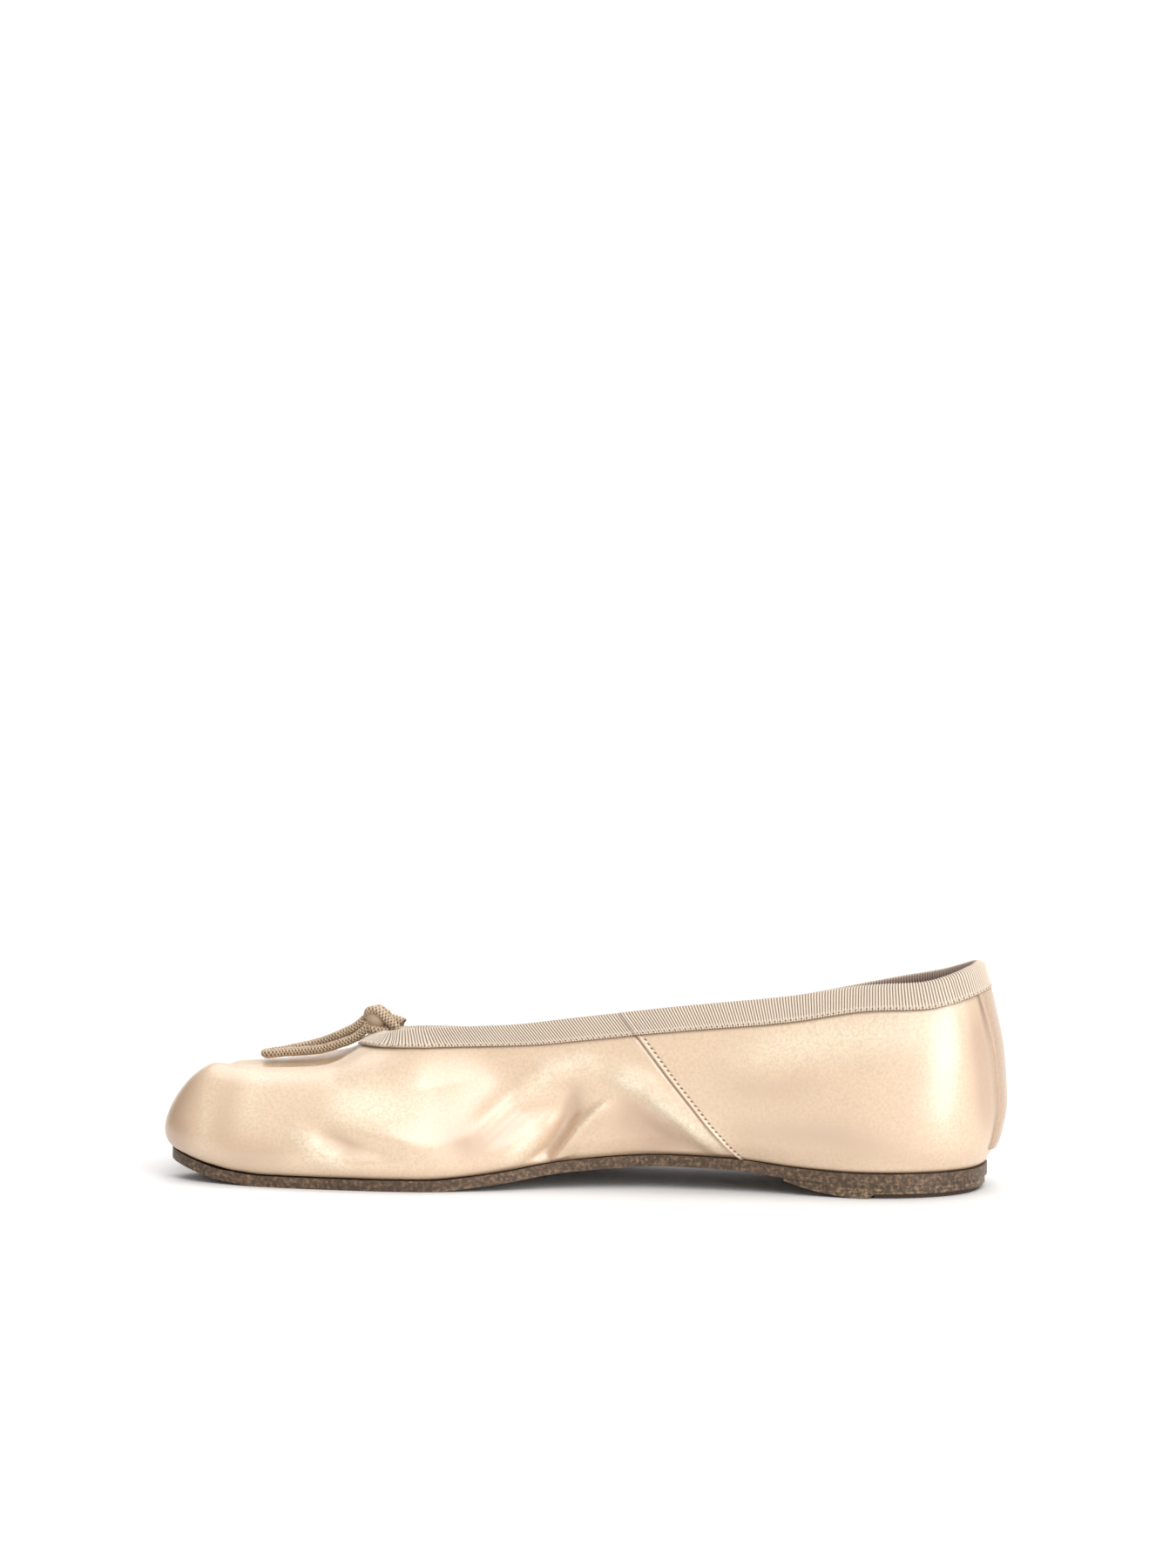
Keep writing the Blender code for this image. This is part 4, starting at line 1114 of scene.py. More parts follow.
def leatherMaterial(name, look):
    # Leather with dark pores and light specks, and on a cut edge the layers of the hide
    made, tree, shader = newMaterial(name)
    place = objectPlace(tree)
    clouds = noiseOf(tree, place, 60, 3, 0.6)
    grain = noiseOf(tree, place, look["grainScale"], 3, 0.6)
    stretched = outputOf(tree, "ShaderNodeMapping", "Vector", {"Vector": place, "Scale": (40, 40, 1900)})
    layers = noiseOf(tree, stretched, 1.0, 2, 0.6)
    dark = tuple(part * 0.40 for part in look["shade"])
    light = tuple(part * 1.9 for part in look["colour"])
    colour = blendColour(tree, rangeOf(tree, clouds, 0.3, 0.7), look["colour"], look["shade"])
    for share, over in (
        (rangeOf(tree, grain, 0.40, 0.58, look["specks"], 0.0), dark),
        (rangeOf(tree, grain, 0.52, 0.72, 0.0, look["specks"] * 0.9), light),
        (rangeOf(tree, layers, 0.35, 0.7, look["layers"], 0.0), dark),
    ):
        colour = blendColour(tree, share, colour, over)
    normal = bumped(tree, grain, 0.5, look["grainDepth"])
    if look["layers"]:
        normal = bumped(tree, layers, 0.4, look["grainDepth"] * 1.5, normal)
    setSockets(tree, shader, {"Base Color": colour, "Roughness": look["roughness"], "Normal": normal})
    return made


def makeLining():
    face, normals = creasedFace(denseRing())
    rows = np.linspace(0, face.shape[0] - 1, lining["rows"]).round().astype(int)
    depth = satin["thickness"] + lining["gap"]
    near = face[rows] - normals[rows] * depth
    far = (face[rows] - normals[rows] * (depth + lining["thickness"]))[::-1]
    mesh = ringMesh("upperLining", np.concatenate([near, far]) + shift)
    addPiece("upperLining", mesh, leatherMaterial("liningLeather", lining["leather"]))


binding = {
    "ribPitch": 0.00085,
    "pointsPerRib": 6,
    "ribHeight": 0.00034,
    "ribPower": 0.8,
    "ribsFrom": (0.10, 0.16),
    "plainHeight": 0.75,
    # Strength of the painted shade between the ribs
    "gapShadeStrength": 1.35,
    "gapOff": 0.0003,
    "thickness": 0.0006,
    "bandRows": 6,
    "foldPoints": 5,
    "seamShare": 0.8,
    "throatLift": 0.0024,
    "throatReach": 0.011,
    "light": (0.850, 0.720, 0.580),
    "clouds": (0.70, 0.57, 0.45),
    # Painted shade: the ribbon's inner face inside the shoe, and the gaps between its ribs
    "inside": (0.36, 0.27, 0.21),
    "dark": (0.130, 0.080, 0.052),
    "lightThread": ((0.820, 0.690, 0.545), (0.700, 0.560, 0.420)),
    # Colours of the dark marks of painted shade for the needle holes and the edge's shadow
    "holeShade": ((0.130, 0.080, 0.050), (0.100, 0.060, 0.040)),
    "stitchOut": 0.8,
    # name, thread, row of the band, points along, every nth rib, lean, length with thickness and height
    "stitches": (
        ("selvedgeBeads", "light", 0.12, 0, 1, 0.0, (0.00068, 0.00042, 0.00034)),
        ("selvedgeThreads", "light", 0.55, 0, 2, 0.95, (0.00130, 0.00034, 0.00034)),
        # Needle holes and the edge's shadow are dark marks of painted shade
        ("needleHoleShade", "dark", 0.30, 3, 2, 0.3, (0.00055, 0.00036, 0.00026)),
        ("edgeShadows", "dark", 0.0, 3, 1, 0.0, (0.00050, 0.00022, 0.00022)),
    ),
}


def alongTopline():
    # Ring places at even steps of the topline's own length, with a whole number of ribs round it
    fine = np.linspace(0, around, 4001)
    way = lengths(cubicAt(columns[-1:], ringPlaces, fine, around)[0])
    count = int(round(way[-1] / binding["ribPitch"])) * binding["pointsPerRib"]
    return np.interp(np.arange(count) * way[-1] / count, way, fine)


def makeBinding():
    # The ribbon runs up the outside of the band, over a round fold and down the inside; its ribs stop short
    # of both lower edges
    places = alongTopline()
    face = faceAt(places)
    normals = faceNormals(face)
    steps = np.broadcast_to(stepHeight(places), face.shape[:2])
    face = face + normals * (steps * binding["seamShare"])[..., None]
    bandRows = np.linspace(satin["rowsBelow"], face.shape[0] - 1, binding["bandRows"]).round().astype(int)
    band, out = face[bandRows], normals[bandRows]
    upward = band[-1] - band[-2]
    upward = upward / np.linalg.norm(upward, axis=1)[:, None]

    # The fold stands higher at the throat, where the knot lies on it
    way = lengths(band[-1])
    offThroat = way - way[np.argmin(band[-1][:, 0])]
    throat = (np.abs(places - around / 2) < around / 4) * bell(offThroat, binding["throatReach"])
    lift = upward * (binding["throatLift"] * throat)[:, None]

    wall, gap = last["upperWall"], binding["gapOff"]
    centre = band[-1] - out[-1] * wall / 2 + lift
    turns = np.linspace(0, np.pi, binding["foldPoints"] + 2)[1:-1]
    fold = [out[-1] * math.cos(turn) + upward * math.sin(turn) for turn in turns]
    up = np.arange(len(band)) / (len(band) - 1)
    overFold = [centre + part * (wall / 2 + gap) for part in fold]
    rows = np.stack([*(band + out * gap), *overFold, *(band - out * (wall + gap))[::-1]])
    outs = np.stack([*out, *fold, *-out[::-1]])
    share = np.concatenate([up, np.ones(len(fold)), up[::-1]])

    ridge = np.abs(np.sin(np.pi * np.arange(len(places)) / binding["pointsPerRib"])) ** binding["ribPower"]
    ribbed = smoothStep(share, *binding["ribsFrom"])[:, None]
    relief = binding["ribHeight"] * (ridge[None, :] * ribbed + binding["plainHeight"] * (1 - ribbed))
    outerFace = rows + outs * (binding["thickness"] + relief)[..., None]
    mesh = ringMesh("toplineBinding", np.concatenate([outerFace, rows[::-1]]) + shift)
    # Painted shade between the ribs and on the ribbon's inner face
    gaps = np.concatenate([(1 - ridge[None, :]) * ribbed, np.zeros(rows.shape[:2])])
    setAttribute(mesh, "ribGapShade", np.clip(gaps * binding["gapShadeStrength"], 0, 1))
    inner = np.arange(2 * len(rows)) > len(band) + len(fold) / 2
    setAttribute(mesh, "innerSideShade", np.repeat(inner[:, None], len(places), axis=1))
    addPiece("toplineBinding", mesh, grosgrainMaterial(), ["topline_binding"])
    return band, out


def grosgrainMaterial():
    made, tree, shader = newMaterial("taupeGrosgrain")
    place = objectPlace(tree)
    clouds = rangeOf(tree, noiseOf(tree, place, 45, 2), 0.3, 0.7, 0.0, 0.35)
    threads = noiseOf(tree, place, 3200, 2, 0.6)
    base = blendColour(tree, clouds, binding["light"], binding["clouds"])
    # The inner face and the gaps between the ribs are painted darker as shade
    shaded = blendColour(tree, attributeOf(tree, "innerSideShade"), base, binding["inside"])
    finish = {
        "Base Color": blendColour(tree, attributeOf(tree, "ribGapShade"), shaded, binding["dark"]),
        "Roughness": 0.62,
        "Sheen Weight": 0.25,
        "Sheen Roughness": 0.4,
        "Normal": bumped(tree, threads, 0.4, 0.00005),
    }
    setSockets(tree, shader, finish)
    return made


tab = {
    "head": 0.0078,
    "foot": 0.0040,
    "footHeight": 0.0126,
    "headGap": 0.4,
    "flare": 0.8,
    "thickness": 0.0013,
    "edgeThickness": 0.25,
    "sideFall": 0.12,
    "columns": 24,
    "rows": 70,
    "searched": 0.014,
    # The tab's satin is the upper's satin with its colour darkened, as painted shade on the back of the heel
    "colour": (0.430, 0.290, 0.190),
}


def tabHalfWidth(up):
    return tab["foot"] + (tab["head"] - tab["foot"]) * up ** tab["flare"]


def makeTab(material):
    # A padded strip over the back, between the binding's edge and a straight end above the sole
    fine = np.linspace(-tab["searched"], tab["searched"], 281)
    middle = len(fine) // 2
    face = faceAt(fine)
    normals = faceNormals(np.concatenate([face, face[:, :1]], axis=1))[:, :-1]
    edgeRow = satin["rowsBelow"]
    foot = np.interp(tab["footHeight"], face[: edgeRow + 1, middle, 2], np.arange(edgeRow + 1))
    head = edgeRow - tab["headGap"]
    grid, outs = [], []
    for row in np.linspace(foot, head, tab["rows"]):
        i = min(int(row), edgeRow - 1)
        share = row - i
        line, out = (part[i] * (1 - share) + part[i + 1] * share for part in (face, normals))
        way = lengths(line)
        half = tabHalfWidth((row - foot) / (head - foot))
        wanted = np.linspace(-half, half, tab["columns"] + 1)
        grid.append(sampled(line, way - way[middle], wanted))
        outs.append(sampled(out, way - way[middle], wanted))
    grid, outs = np.stack(grid), np.stack(outs)

    # The pad is full over its width and falls off at its sides and its foot
    rows, count = grid.shape[:2]
    across = np.linspace(-1, 1, count)[None, :]
    up = np.linspace(0, 1, rows)[:, None]
    crown = (1 - np.abs(across) ** 6) ** 0.5 * smoothStep(up, -0.004, 0.02) ** 0.5
    edgeShare = tab["edgeThickness"]
    pad = tab["thickness"] * (edgeShare + (1 - edgeShare) * crown) * (1 - tab["sideFall"] * across**2)
    outer = grid + outs * (last["fitGap"] + pad)[..., None]
    inner = grid + outs * last["fitGap"]
    points = np.concatenate([outer, inner]).reshape(-1, 3) + shift
    size = rows * count
    number = np.arange(size).reshape(rows, count)
    faces = []
    for low, high in zip(number[:-1].tolist(), number[1:].tolist()):
        for a, b, c, d in zip(low, high, high[1:], low[1:]):
            faces.append((a, b, c, d))
            faces.append((size + a, size + d, size + c, size + b))
    border = np.concatenate([number[0], number[1:, -1], number[-1, -2::-1], number[-2:0:-1, 0]]).tolist()
    for a, b in zip(border, border[1:] + border[:1]):
        faces.append((a, b, size + b, size + a))
    mesh = bpy.data.meshes.new("heelTab")
    mesh.from_pydata(points.tolist(), [], faces)
    work = bmesh.new()
    work.from_mesh(mesh)
    bmesh.ops.recalc_face_normals(work, faces=work.faces)
    work.to_mesh(mesh)
    work.free()
    # The tab's own satin gets none of the painted join shade
    setAttribute(mesh, "paintedContactShade", np.zeros(len(points)))
    addPiece("heelTab", mesh, material, ["heel_tab"])


def polyCurve(name, points):
    # A curve with straight stretches through the points
    curve = bpy.data.curves.new(name, "CURVE")
    curve.dimensions = "3D"
    spline = curve.splines.new("POLY")
    spline.points.add(len(points) - 1)
    for point, place in zip(spline.points, points):
        point.co = (*place, 1)
    return curve


def plateMesh(name, line, cuts):
    # A flat plate between Z = -0.5 and 0.5 with a closed outline, cut across at places along X
    curve = polyCurve(name, [(x, y, 0) for x, y in line])
    curve.splines[0].use_cyclic_u = True
    curve.dimensions = "2D"
    curve.fill_mode = "BOTH"
    curve.extrude = 0.5
    helper = bpy.data.objects.new(name, curve)
    bpy.context.scene.collection.objects.link(helper)
    graph = bpy.context.evaluated_depsgraph_get()
    mesh = bpy.data.meshes.new_from_object(helper.evaluated_get(graph))
    bpy.data.objects.remove(helper)
    work = bmesh.new()
    work.from_mesh(mesh)
    bmesh.ops.remove_doubles(work, verts=work.verts, dist=1e-6)
    for way in (-1, 1):
        flat = [face for face in work.faces if face.normal.z * way > 0.9]
        bmesh.ops.dissolve_faces(work, faces=flat)
    for x in cuts:
        every = work.verts[:] + work.edges[:] + work.faces[:]
        bmesh.ops.bisect_plane(work, geom=every, dist=1e-6, plane_co=(x, 0, 0), plane_no=(1, 0, 0))
    work.to_mesh(mesh)
    work.free()
    return mesh


def bendPlate(mesh, under, over):
    # Lays the plate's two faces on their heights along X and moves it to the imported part's place
    for vertex in mesh.vertices:
        height = under if vertex.co.z < 0 else over
        vertex.co.z = float(height(vertex.co.x))
        vertex.co.x += shift[0]
        vertex.co.y += shift[1]


def outlineRing(inset):
    # The sole's outline with a fixed count of points on each of its stretches
    line = []
    for side in (medial, lateral):
        half = halfOutline(side, inset)
        parts = []
        for stretch, count in zip(half.values(), soleParts["steps"]):
            parts.append(atLength(stretch, np.linspace(0, lengths(stretch)[-1], count + 1)[:-1]))
        parts.append(half["bottom"][-1:])
        line.append(np.concatenate(parts))
    return ring(line)


soleParts = {
    "edgeRound": 0.0007,
    "cuts": 110,
    "steps": (26, 70, 34, 22, 16, 10),
    "cutGap": 0.0005,
    "looseGap": 0.00005,
    "liftInset": 0.0007,
    "liftFront": 0.0570,
    "liftLip": 0.0006,
    "liftCurve": 2.2,
    "rubberInset": 0.0022,
    "rubberFront": 0.0295,
    "rubberThickness": 0.0014,
    "rubberBlend": 0.0004,
    "heelRound": 0.0003,
    "heelPoints": 50,
    "leather": {
        "colour": (0.200, 0.122, 0.068),
        "shade": (0.115, 0.068, 0.038),
        "roughness": 0.48,
        "grainScale": 850,
        "grainDepth": 0.00008,
        "specks": 0.8,
        "layers": 0.5,
    },
    "rubber": ((0.085, 0.045, 0.028), (0.050, 0.028, 0.018)),
}
# The heel's stacked leather is paler than the sole's, and its layers show more
heelLeather = {**soleParts["leather"], "colour": (0.310, 0.205, 0.115), "roughness": 0.5, "layers": 0.7}


def bevelEdges(obj, width, segments):
    # Rounds the plate's rim, then keeps the rounded mesh
    bevel = obj.modifiers.new("rim", "BEVEL")
    bevel.width, bevel.segments = width, segments
    bevel.limit_method = "ANGLE"
    bevel.angle_limit = math.radians(50)
    graph = bpy.context.evaluated_depsgraph_get()
    mesh = bpy.data.meshes.new_from_object(obj.evaluated_get(graph))
    obj.modifiers.clear()
    obj.data = mesh


def makePlate(name, line, cuts, heights, material, node, rim, segments):
    # One piece of the sole between two heights along X, with a rounded rim
    mesh = plateMesh(name, line, cuts)
    bendPlate(mesh, *heights)
    piece = addPiece(name, mesh, material, [node], sharpAt=40)
    bevelEdges(piece, rim, segments)
    piece.data.shade_smooth()


def makeSole():
    cuts = np.linspace(last["toeEnd"], soleBack, soleParts["cuts"] + 1)[1:-1]
    heights = (softUnder, lambda x: softUnder(x) + last["soleThickness"])
    leather = leatherMaterial("soleLeather", soleParts["leather"])
    line, rim = outlineRing(0.0), soleParts["edgeRound"]
    makePlate("outsolePlate", line, cuts, heights, leather, "outsole", rim, 3)
    for name, node, front, inset, heights, material, slot in (
        (
            "heelLift", "heel_lift", soleParts["liftFront"], soleParts["liftInset"],
            (liftUnder, lambda x: softUnder(x) - soleParts["looseGap"]),
            leatherMaterial("heelLeather", heelLeather), "sole_leather",
        ),
        (
            "heelRubber", "heel_top_piece", soleParts["rubberFront"], soleParts["rubberInset"],
            (lambda x: 0.0, lambda x: soleParts["rubberThickness"] - soleParts["looseGap"]),
            rubberMaterial(), "dark_rubber",
        ),
    ):
        # A cut that falls on the piece's straight front would leave slivers
        heelCuts = [x for x in cuts if x > soleBack - front + soleParts["cutGap"]]
        line = heelOutline(front, inset)
        makePlate(name, line, heelCuts, heights, material, node, soleParts["heelRound"], 2)


def liftUnder(x):
    # Flat on the rubber at the back, rising to a thin lip at the waist
    front, rubberStart = soleBack - soleParts["liftFront"], soleBack - soleParts["rubberFront"]
    t = float(np.clip((rubberStart - x) / (rubberStart - front), 0, 1))
    free = (float(softUnder(front)) - last["fitGap"] - soleParts["liftLip"]) * t ** soleParts["liftCurve"]
    onRubber = float(smoothStep(x, rubberStart - soleParts["rubberBlend"], rubberStart))
    return max(free, soleParts["rubberThickness"] * onRubber)


def heelOutline(front, inset):
    # The sole's outline round the heel, as far forward as the piece's straight front edge
    start = soleBack - front
    halves = []
    for side in (medial, lateral):
        half = halfOutline(side, inset)
        line = joined([half["heel"], half["flank"]])
        reach = float(np.interp(-start, -line[:, 0], lengths(line)))
        halves.append(atLength(line, np.linspace(0, reach, soleParts["heelPoints"])))
    return np.concatenate([halves[0][::-1], halves[1][1:]])


def rubberMaterial():
    made, tree, shader = newMaterial("darkRubber")
    grain = noiseOf(tree, objectPlace(tree), 1800, 2, 0.6)
    finish = {
        "Base Color": blendColour(tree, rangeOf(tree, grain, 0.3, 0.7), *soleParts["rubber"]),
        "Roughness": 0.68,
        "Normal": bumped(tree, grain, 0.4, 0.00008),
    }
    setSockets(tree, shader, finish)
    return made


insole = {
    "thickness": 0.0022,
    "edgeRound": 0.0004,
    "cuts": 59,
    "leather": {
        "colour": (0.66, 0.52, 0.40),
        "shade": (0.56, 0.43, 0.32),
        "roughness": 0.55,
        "grainScale": 1300,
        "grainDepth": 0.00007,
        "specks": 0.25,
        "layers": 0.0,
    },
}


def makeInsole():
    inset = last["featherInset"] + last["upperWall"] + 2 * last["fitGap"]
    cuts = np.linspace(last["toeEnd"], soleBack, insole["cuts"] + 1)[1:-1]
    base = last["soleThickness"] + last["fitGap"]
    heights = (lambda x: softUnder(x) + base, lambda x: softUnder(x) + base + insole["thickness"])
    leather = leatherMaterial("insoleLeather", insole["leather"])
    line, rim = outlineRing(inset), insole["edgeRound"]
    makePlate("insoleSock", line, cuts, heights, leather, "insole", rim, 2)


bow = {
    "knotPlace": (-0.0651, -0.0012, 0.0466),
    "knotSize": (0.0035, 0.0034, 0.0031),
    "width": 0.0029,
    "thickness": 0.0026,
    "routeStep": 0.0004,
    "pointStep": 0.00022,
    "aroundPoints": 20,
    "strands": 4,
    "braidPitch": 0.0042,
    "relief": 0.00040,
    "lowShare": 0.6,
    # Where the painted shade between strands begins, and its share on the knot's core
    "gapFrom": 0.75,
    "coreGapShade": 0.35,
    "light": (0.860, 0.670, 0.460),
    "clouds": (0.700, 0.520, 0.350),
    # dark: painted shade between the braid's strands, and the darker fibres of its fine grain
    "dark": (0.170, 0.105, 0.060),
}
# Each cord's way from the knot's middle, in millimetres, as the CAD model has it
bowRoutes = {
    "bowLoopFront": (
        (-4.1, 1.0, -0.5), (-7.2, 2.0, -3.1), (-10.6, 3.1, -4.9), (-17.1, 5.0, -7.9), (-23.7, 6.3, -9.9),
        (-30.0, 7.4, -11.5), (-33.6, 7.5, -12.1), (-35.3, 5.9, -12.3), (-33.6, 4.3, -12.2),
        (-29.6, 4.0, -11.6), (-23.3, 2.9, -10.9), (-16.8, 1.6, -9.8), (-10.2, 0.5, -7.5),
        (-6.9, -0.1, -6.0), (-4.7, -0.5, -4.2), (-2.8, -0.8, -2.4),
    ),
    "bowLoopSide": (
        (-1.6, 4.2, 0.2), (-3.8, 9.8, -1.8), (-5.3, 15.8, -4.5), (-6.0, 21.8, -6.9), (-5.8, 27.3, -9.5),
        (-4.0, 29.8, -10.9), (-1.8, 28.8, -10.1), (-0.3, 23.8, -7.1), (0.4, 17.8, -4.4),
        (1.0, 10.8, -1.6), (1.4, 4.2, 0.0),
    ),
    "bowEndBack": ((4.3, -0.8, 0.2), (6.2, -1.2, -0.2), (8.2, -1.6, -0.9)),
    "bowEndSide": ((-4.2, 3.8, -1.2), (-8.3, 8.2, -4.0), (-11.6, 11.3, -6.0), (-14.8, 14.3, -7.6)),
    "knotOver": (
        (5.2, -1.0, -3.2), (2.4, -1.7, -3.4), (-0.4, -1.6, -3.2), (-2.4, -0.4, -2.4), (-3.1, 0.4, -0.8),
        (-2.9, 0.0, 1.0), (-2.0, -1.2, 2.5), (0.4, -2.3, 2.4), (3.0, -2.8, 0.6),
        (5.4, -2.8, -1.6), (6.4, -2.2, -2.9),
    ),
    "knotBehind": (
        (-0.5, 2.8, -2.0), (-1.6, 2.2, 0.8), (-0.4, 0.8, 2.7), (1.4, -0.2, 2.3), (2.8, 1.0, 0.8),
        (3.0, 2.4, -1.8),
    ),
}


def smoothRoute(points, step):
    # A Catmull-Rom line through the points, in even steps
    points = np.asarray(points, float)
    ends = np.vstack([2 * points[0] - points[1], points, 2 * points[-1] - points[-2]])
    line = []
    for i in range(1, len(ends) - 2):
        a, b, c, d = ends[i - 1 : i + 3]
        for t in np.linspace(0, 1, 24, endpoint=False):
            bend = (2 * a - 5 * b + 4 * c - d) * t**2 + (3 * b - a - 3 * c + d) * t**3
            line.append(0.5 * (2 * b + (c - a) * t + bend))
    line.append(points[-1])
    line = np.array(line)
    total = lengths(line)[-1]
    return atLength(line, np.linspace(0, total, max(3, int(total / step) + 1)))


def newTree(name, numbers):
    # A tree that takes a geometry, some numbers and a finish, with its inputs by name and its last node
    tree = bpy.data.node_groups.new(name, "GeometryNodeTree")
    kinds = {"Geometry": "NodeSocketGeometry", **dict.fromkeys(numbers, "NodeSocketFloat")}
    for label, kind in {**kinds, "Finish": "NodeSocketMaterial"}.items():
        tree.interface.new_socket(label, in_out="INPUT", socket_type=kind)
    tree.interface.new_socket("Geometry", in_out="OUTPUT", socket_type="NodeSocketGeometry")
    return tree, tree.nodes.new("NodeGroupInput").outputs, tree.nodes.new("NodeGroupOutput")


def endTree(tree, geometry, finish, end):
    # Gives the tree's geometry its finish and makes its instances real
    steps = (("GeometryNodeSetMaterial", {"Material": finish}), ("GeometryNodeRealizeInstances", {}))
    for kind, sockets in steps:
        geometry = outputOf(tree, kind, "Geometry", {"Geometry": geometry, **sockets})
    plug(tree, end.inputs["Geometry"], geometry)


def mathOf(tree, operation, *values):
    node = addNode(tree, "ShaderNodeMath", operation=operation)
    for socket, value in zip(node.inputs, values):
        plug(tree, socket, value)
    return node.outputs[0]


def treeResult(name, data, tree, settings):
    # The plain mesh that the tree makes from a curve or from points
    source = bpy.data.objects.new(name, data)
    bpy.context.scene.collection.objects.link(source)
    modifier = source.modifiers.new(tree.name, "NODES")
    modifier.node_group = tree
    sockets = {item.name: item.identifier for item in tree.interface.items_tree if item.in_out == "INPUT"}
    for label, value in settings.items():
        modifier[sockets[label]] = value
    graph = bpy.context.evaluated_depsgraph_get()
    mesh = bpy.data.meshes.new_from_object(source.evaluated_get(graph))
    bpy.data.objects.remove(source)
    return mesh


def captured(tree, curve, name, measure):
    # The curve with one of its measures kept on its points under a name, and that measure
    keep = tree.nodes.new("GeometryNodeCaptureAttribute")
    keep.capture_items.new("FLOAT", name)
    value = outputOf(tree, "GeometryNodeSplineParameter", measure)
    setSockets(tree, keep, {"Geometry": curve, name: value})
    return keep.outputs["Geometry"], keep.outputs[name]


def cordTree():
    # A flattened tube along a curve, its face raised where one of two crossing sets of strands lies on top
    tree, given, end = newTree("braidedCord", ("Width", "Thickness", "Step", "Strands", "Pitch", "Relief"))
    even = outputOf(
        tree, "GeometryNodeResampleCurve", "Curve",
        {"Curve": given["Geometry"], "Length": given["Step"]}, mode="LENGTH",
    )
    upright = outputOf(tree, "GeometryNodeSetCurveNormal", "Curve", {"Curve": even}, mode="Z_UP")
    curve, way = captured(tree, upright, "Way", "Length")
    circle = outputOf(
        tree, "GeometryNodeCurvePrimitiveCircle", "Curve", {"Resolution": bow["aroundPoints"], "Radius": 0.5}
    )
    circle, turn = captured(tree, circle, "Turn", "Factor")
    breadths = {"X": given["Width"], "Y": given["Thickness"], "Z": 1}
    size = outputOf(tree, "ShaderNodeCombineXYZ", "Vector", breadths)
    profile = outputOf(tree, "GeometryNodeTransform", "Geometry", {"Geometry": circle, "Scale": size})
    tube = outputOf(
        tree, "GeometryNodeCurveToMesh", "Mesh", {"Curve": curve, "Profile Curve": profile, "Fill Caps": True}
    )

    # Each set of strands is a wave that runs slantwise round the tube, one to the left and one to the right
    angle = mathOf(tree, "MULTIPLY", mathOf(tree, "MULTIPLY", turn, given["Strands"]), math.tau)
    run = mathOf(tree, "MULTIPLY", mathOf(tree, "DIVIDE", way, given["Pitch"]), math.tau * bow["strands"])
    left, right = (mathOf(tree, "SINE", mathOf(tree, how, angle, run)) for how in ("ADD", "SUBTRACT"))
    height = mathOf(tree, "MAXIMUM", left, right)
    rise = mathOf(tree, "MULTIPLY", mathOf(tree, "SUBTRACT", height, bow["lowShare"]), given["Relief"])
    outwards = addNode(tree, "ShaderNodeVectorMath", {"Scale": rise}, operation="SCALE")
    plug(tree, outwards.inputs[0], outputOf(tree, "GeometryNodeInputNormal", "Normal"))
    raised = outputOf(
        tree, "GeometryNodeSetPosition", "Geometry", {"Geometry": tube, "Offset": outwards.outputs["Vector"]}
    )
    # Painted shade where the strands dip, kept as an attribute
    gap = mathOf(tree, "SUBTRACT", bow["gapFrom"], height)
    stored = outputOf(
        tree, "GeometryNodeStoreNamedAttribute", "Geometry",
        {"Geometry": raised, "Name": "braidGapShade", "Value": gap}, data_type="FLOAT", domain="POINT",
    )
    endTree(tree, stored, given["Finish"], end)
    return tree


def braidMaterial():
    made, tree, shader = newMaterial("brownBraid")
    place = objectPlace(tree)
    fine = noiseOf(tree, place, 4200, 2, 0.6)
    colour = bow["light"]
    for share, over in (
        (rangeOf(tree, noiseOf(tree, place, 220, 2), 0.35, 0.7), bow["clouds"]),
        # Painted shade between the strands
        (rangeOf(tree, attributeOf(tree, "braidGapShade"), 0.10, 0.80, 0.0, 0.95), bow["dark"]),
        (rangeOf(tree, fine, 0.35, 0.7, 0.35, 0.0), bow["dark"]),
    ):
        colour = blendColour(tree, share, colour, over)
    finish = {
        "Base Color": colour,
        "Roughness": 0.5,
        "Sheen Weight": 0.3,
        "Sheen Roughness": 0.35,
        "Normal": bumped(tree, fine, 0.4, 0.00006),
    }
    setSockets(tree, shader, finish)
    return made


def makeBow():
    finish = braidMaterial()
    knot = np.array(bow["knotPlace"])
    tree = cordTree()
    settings = {
        "Width": bow["width"],
        "Thickness": bow["thickness"],
        "Step": bow["pointStep"],
        "Strands": float(bow["strands"]),
        "Pitch": bow["braidPitch"],
        "Relief": bow["relief"],
        "Finish": finish,
    }
    meshes, routes = {}, {}
    for name, offsets in bowRoutes.items():
        routes[name] = smoothRoute(np.array(offsets) / 1000 + knot, bow["routeStep"])
        meshes[name] = treeResult(name, polyCurve(name, routes[name]), tree, settings)

    # The knot: two turns of the cord round a small core
    core = bmesh.new()
    bmesh.ops.create_icosphere(core, subdivisions=3, radius=1.0)
    for vertex in core.verts:
        vertex.co = Vector(knot + np.array(vertex.co) * np.array(bow["knotSize"]))
    coreMesh = bpy.data.meshes.new("core")
    core.to_mesh(coreMesh)
    core.free()
    # The core gets an even share of the painted shade between strands
    setAttribute(coreMesh, "braidGapShade", np.full(len(coreMesh.vertices), bow["coreGapShade"]))
    knotMesh = joinedMesh("bowKnot", [coreMesh, meshes.pop("knotOver"), meshes.pop("knotBehind")])
    nodes = {
        "bowLoopFront": "bow_loop_front", "bowLoopSide": "bow_loop_side",
        "bowEndBack": "bow_end_back", "bowEndSide": "bow_end_side",
    }
    made = {name: addPiece(name, mesh, None, [nodes[name]]) for name, mesh in meshes.items()}
    addPiece("bowKnot", knotMesh, finish, ["bow_knot"])


def joinedMesh(name, meshes):
    work = bmesh.new()
    for mesh in meshes:
        work.from_mesh(mesh)
    joint = bpy.data.meshes.new(name)
    work.to_mesh(joint)
    work.free()
    return joint


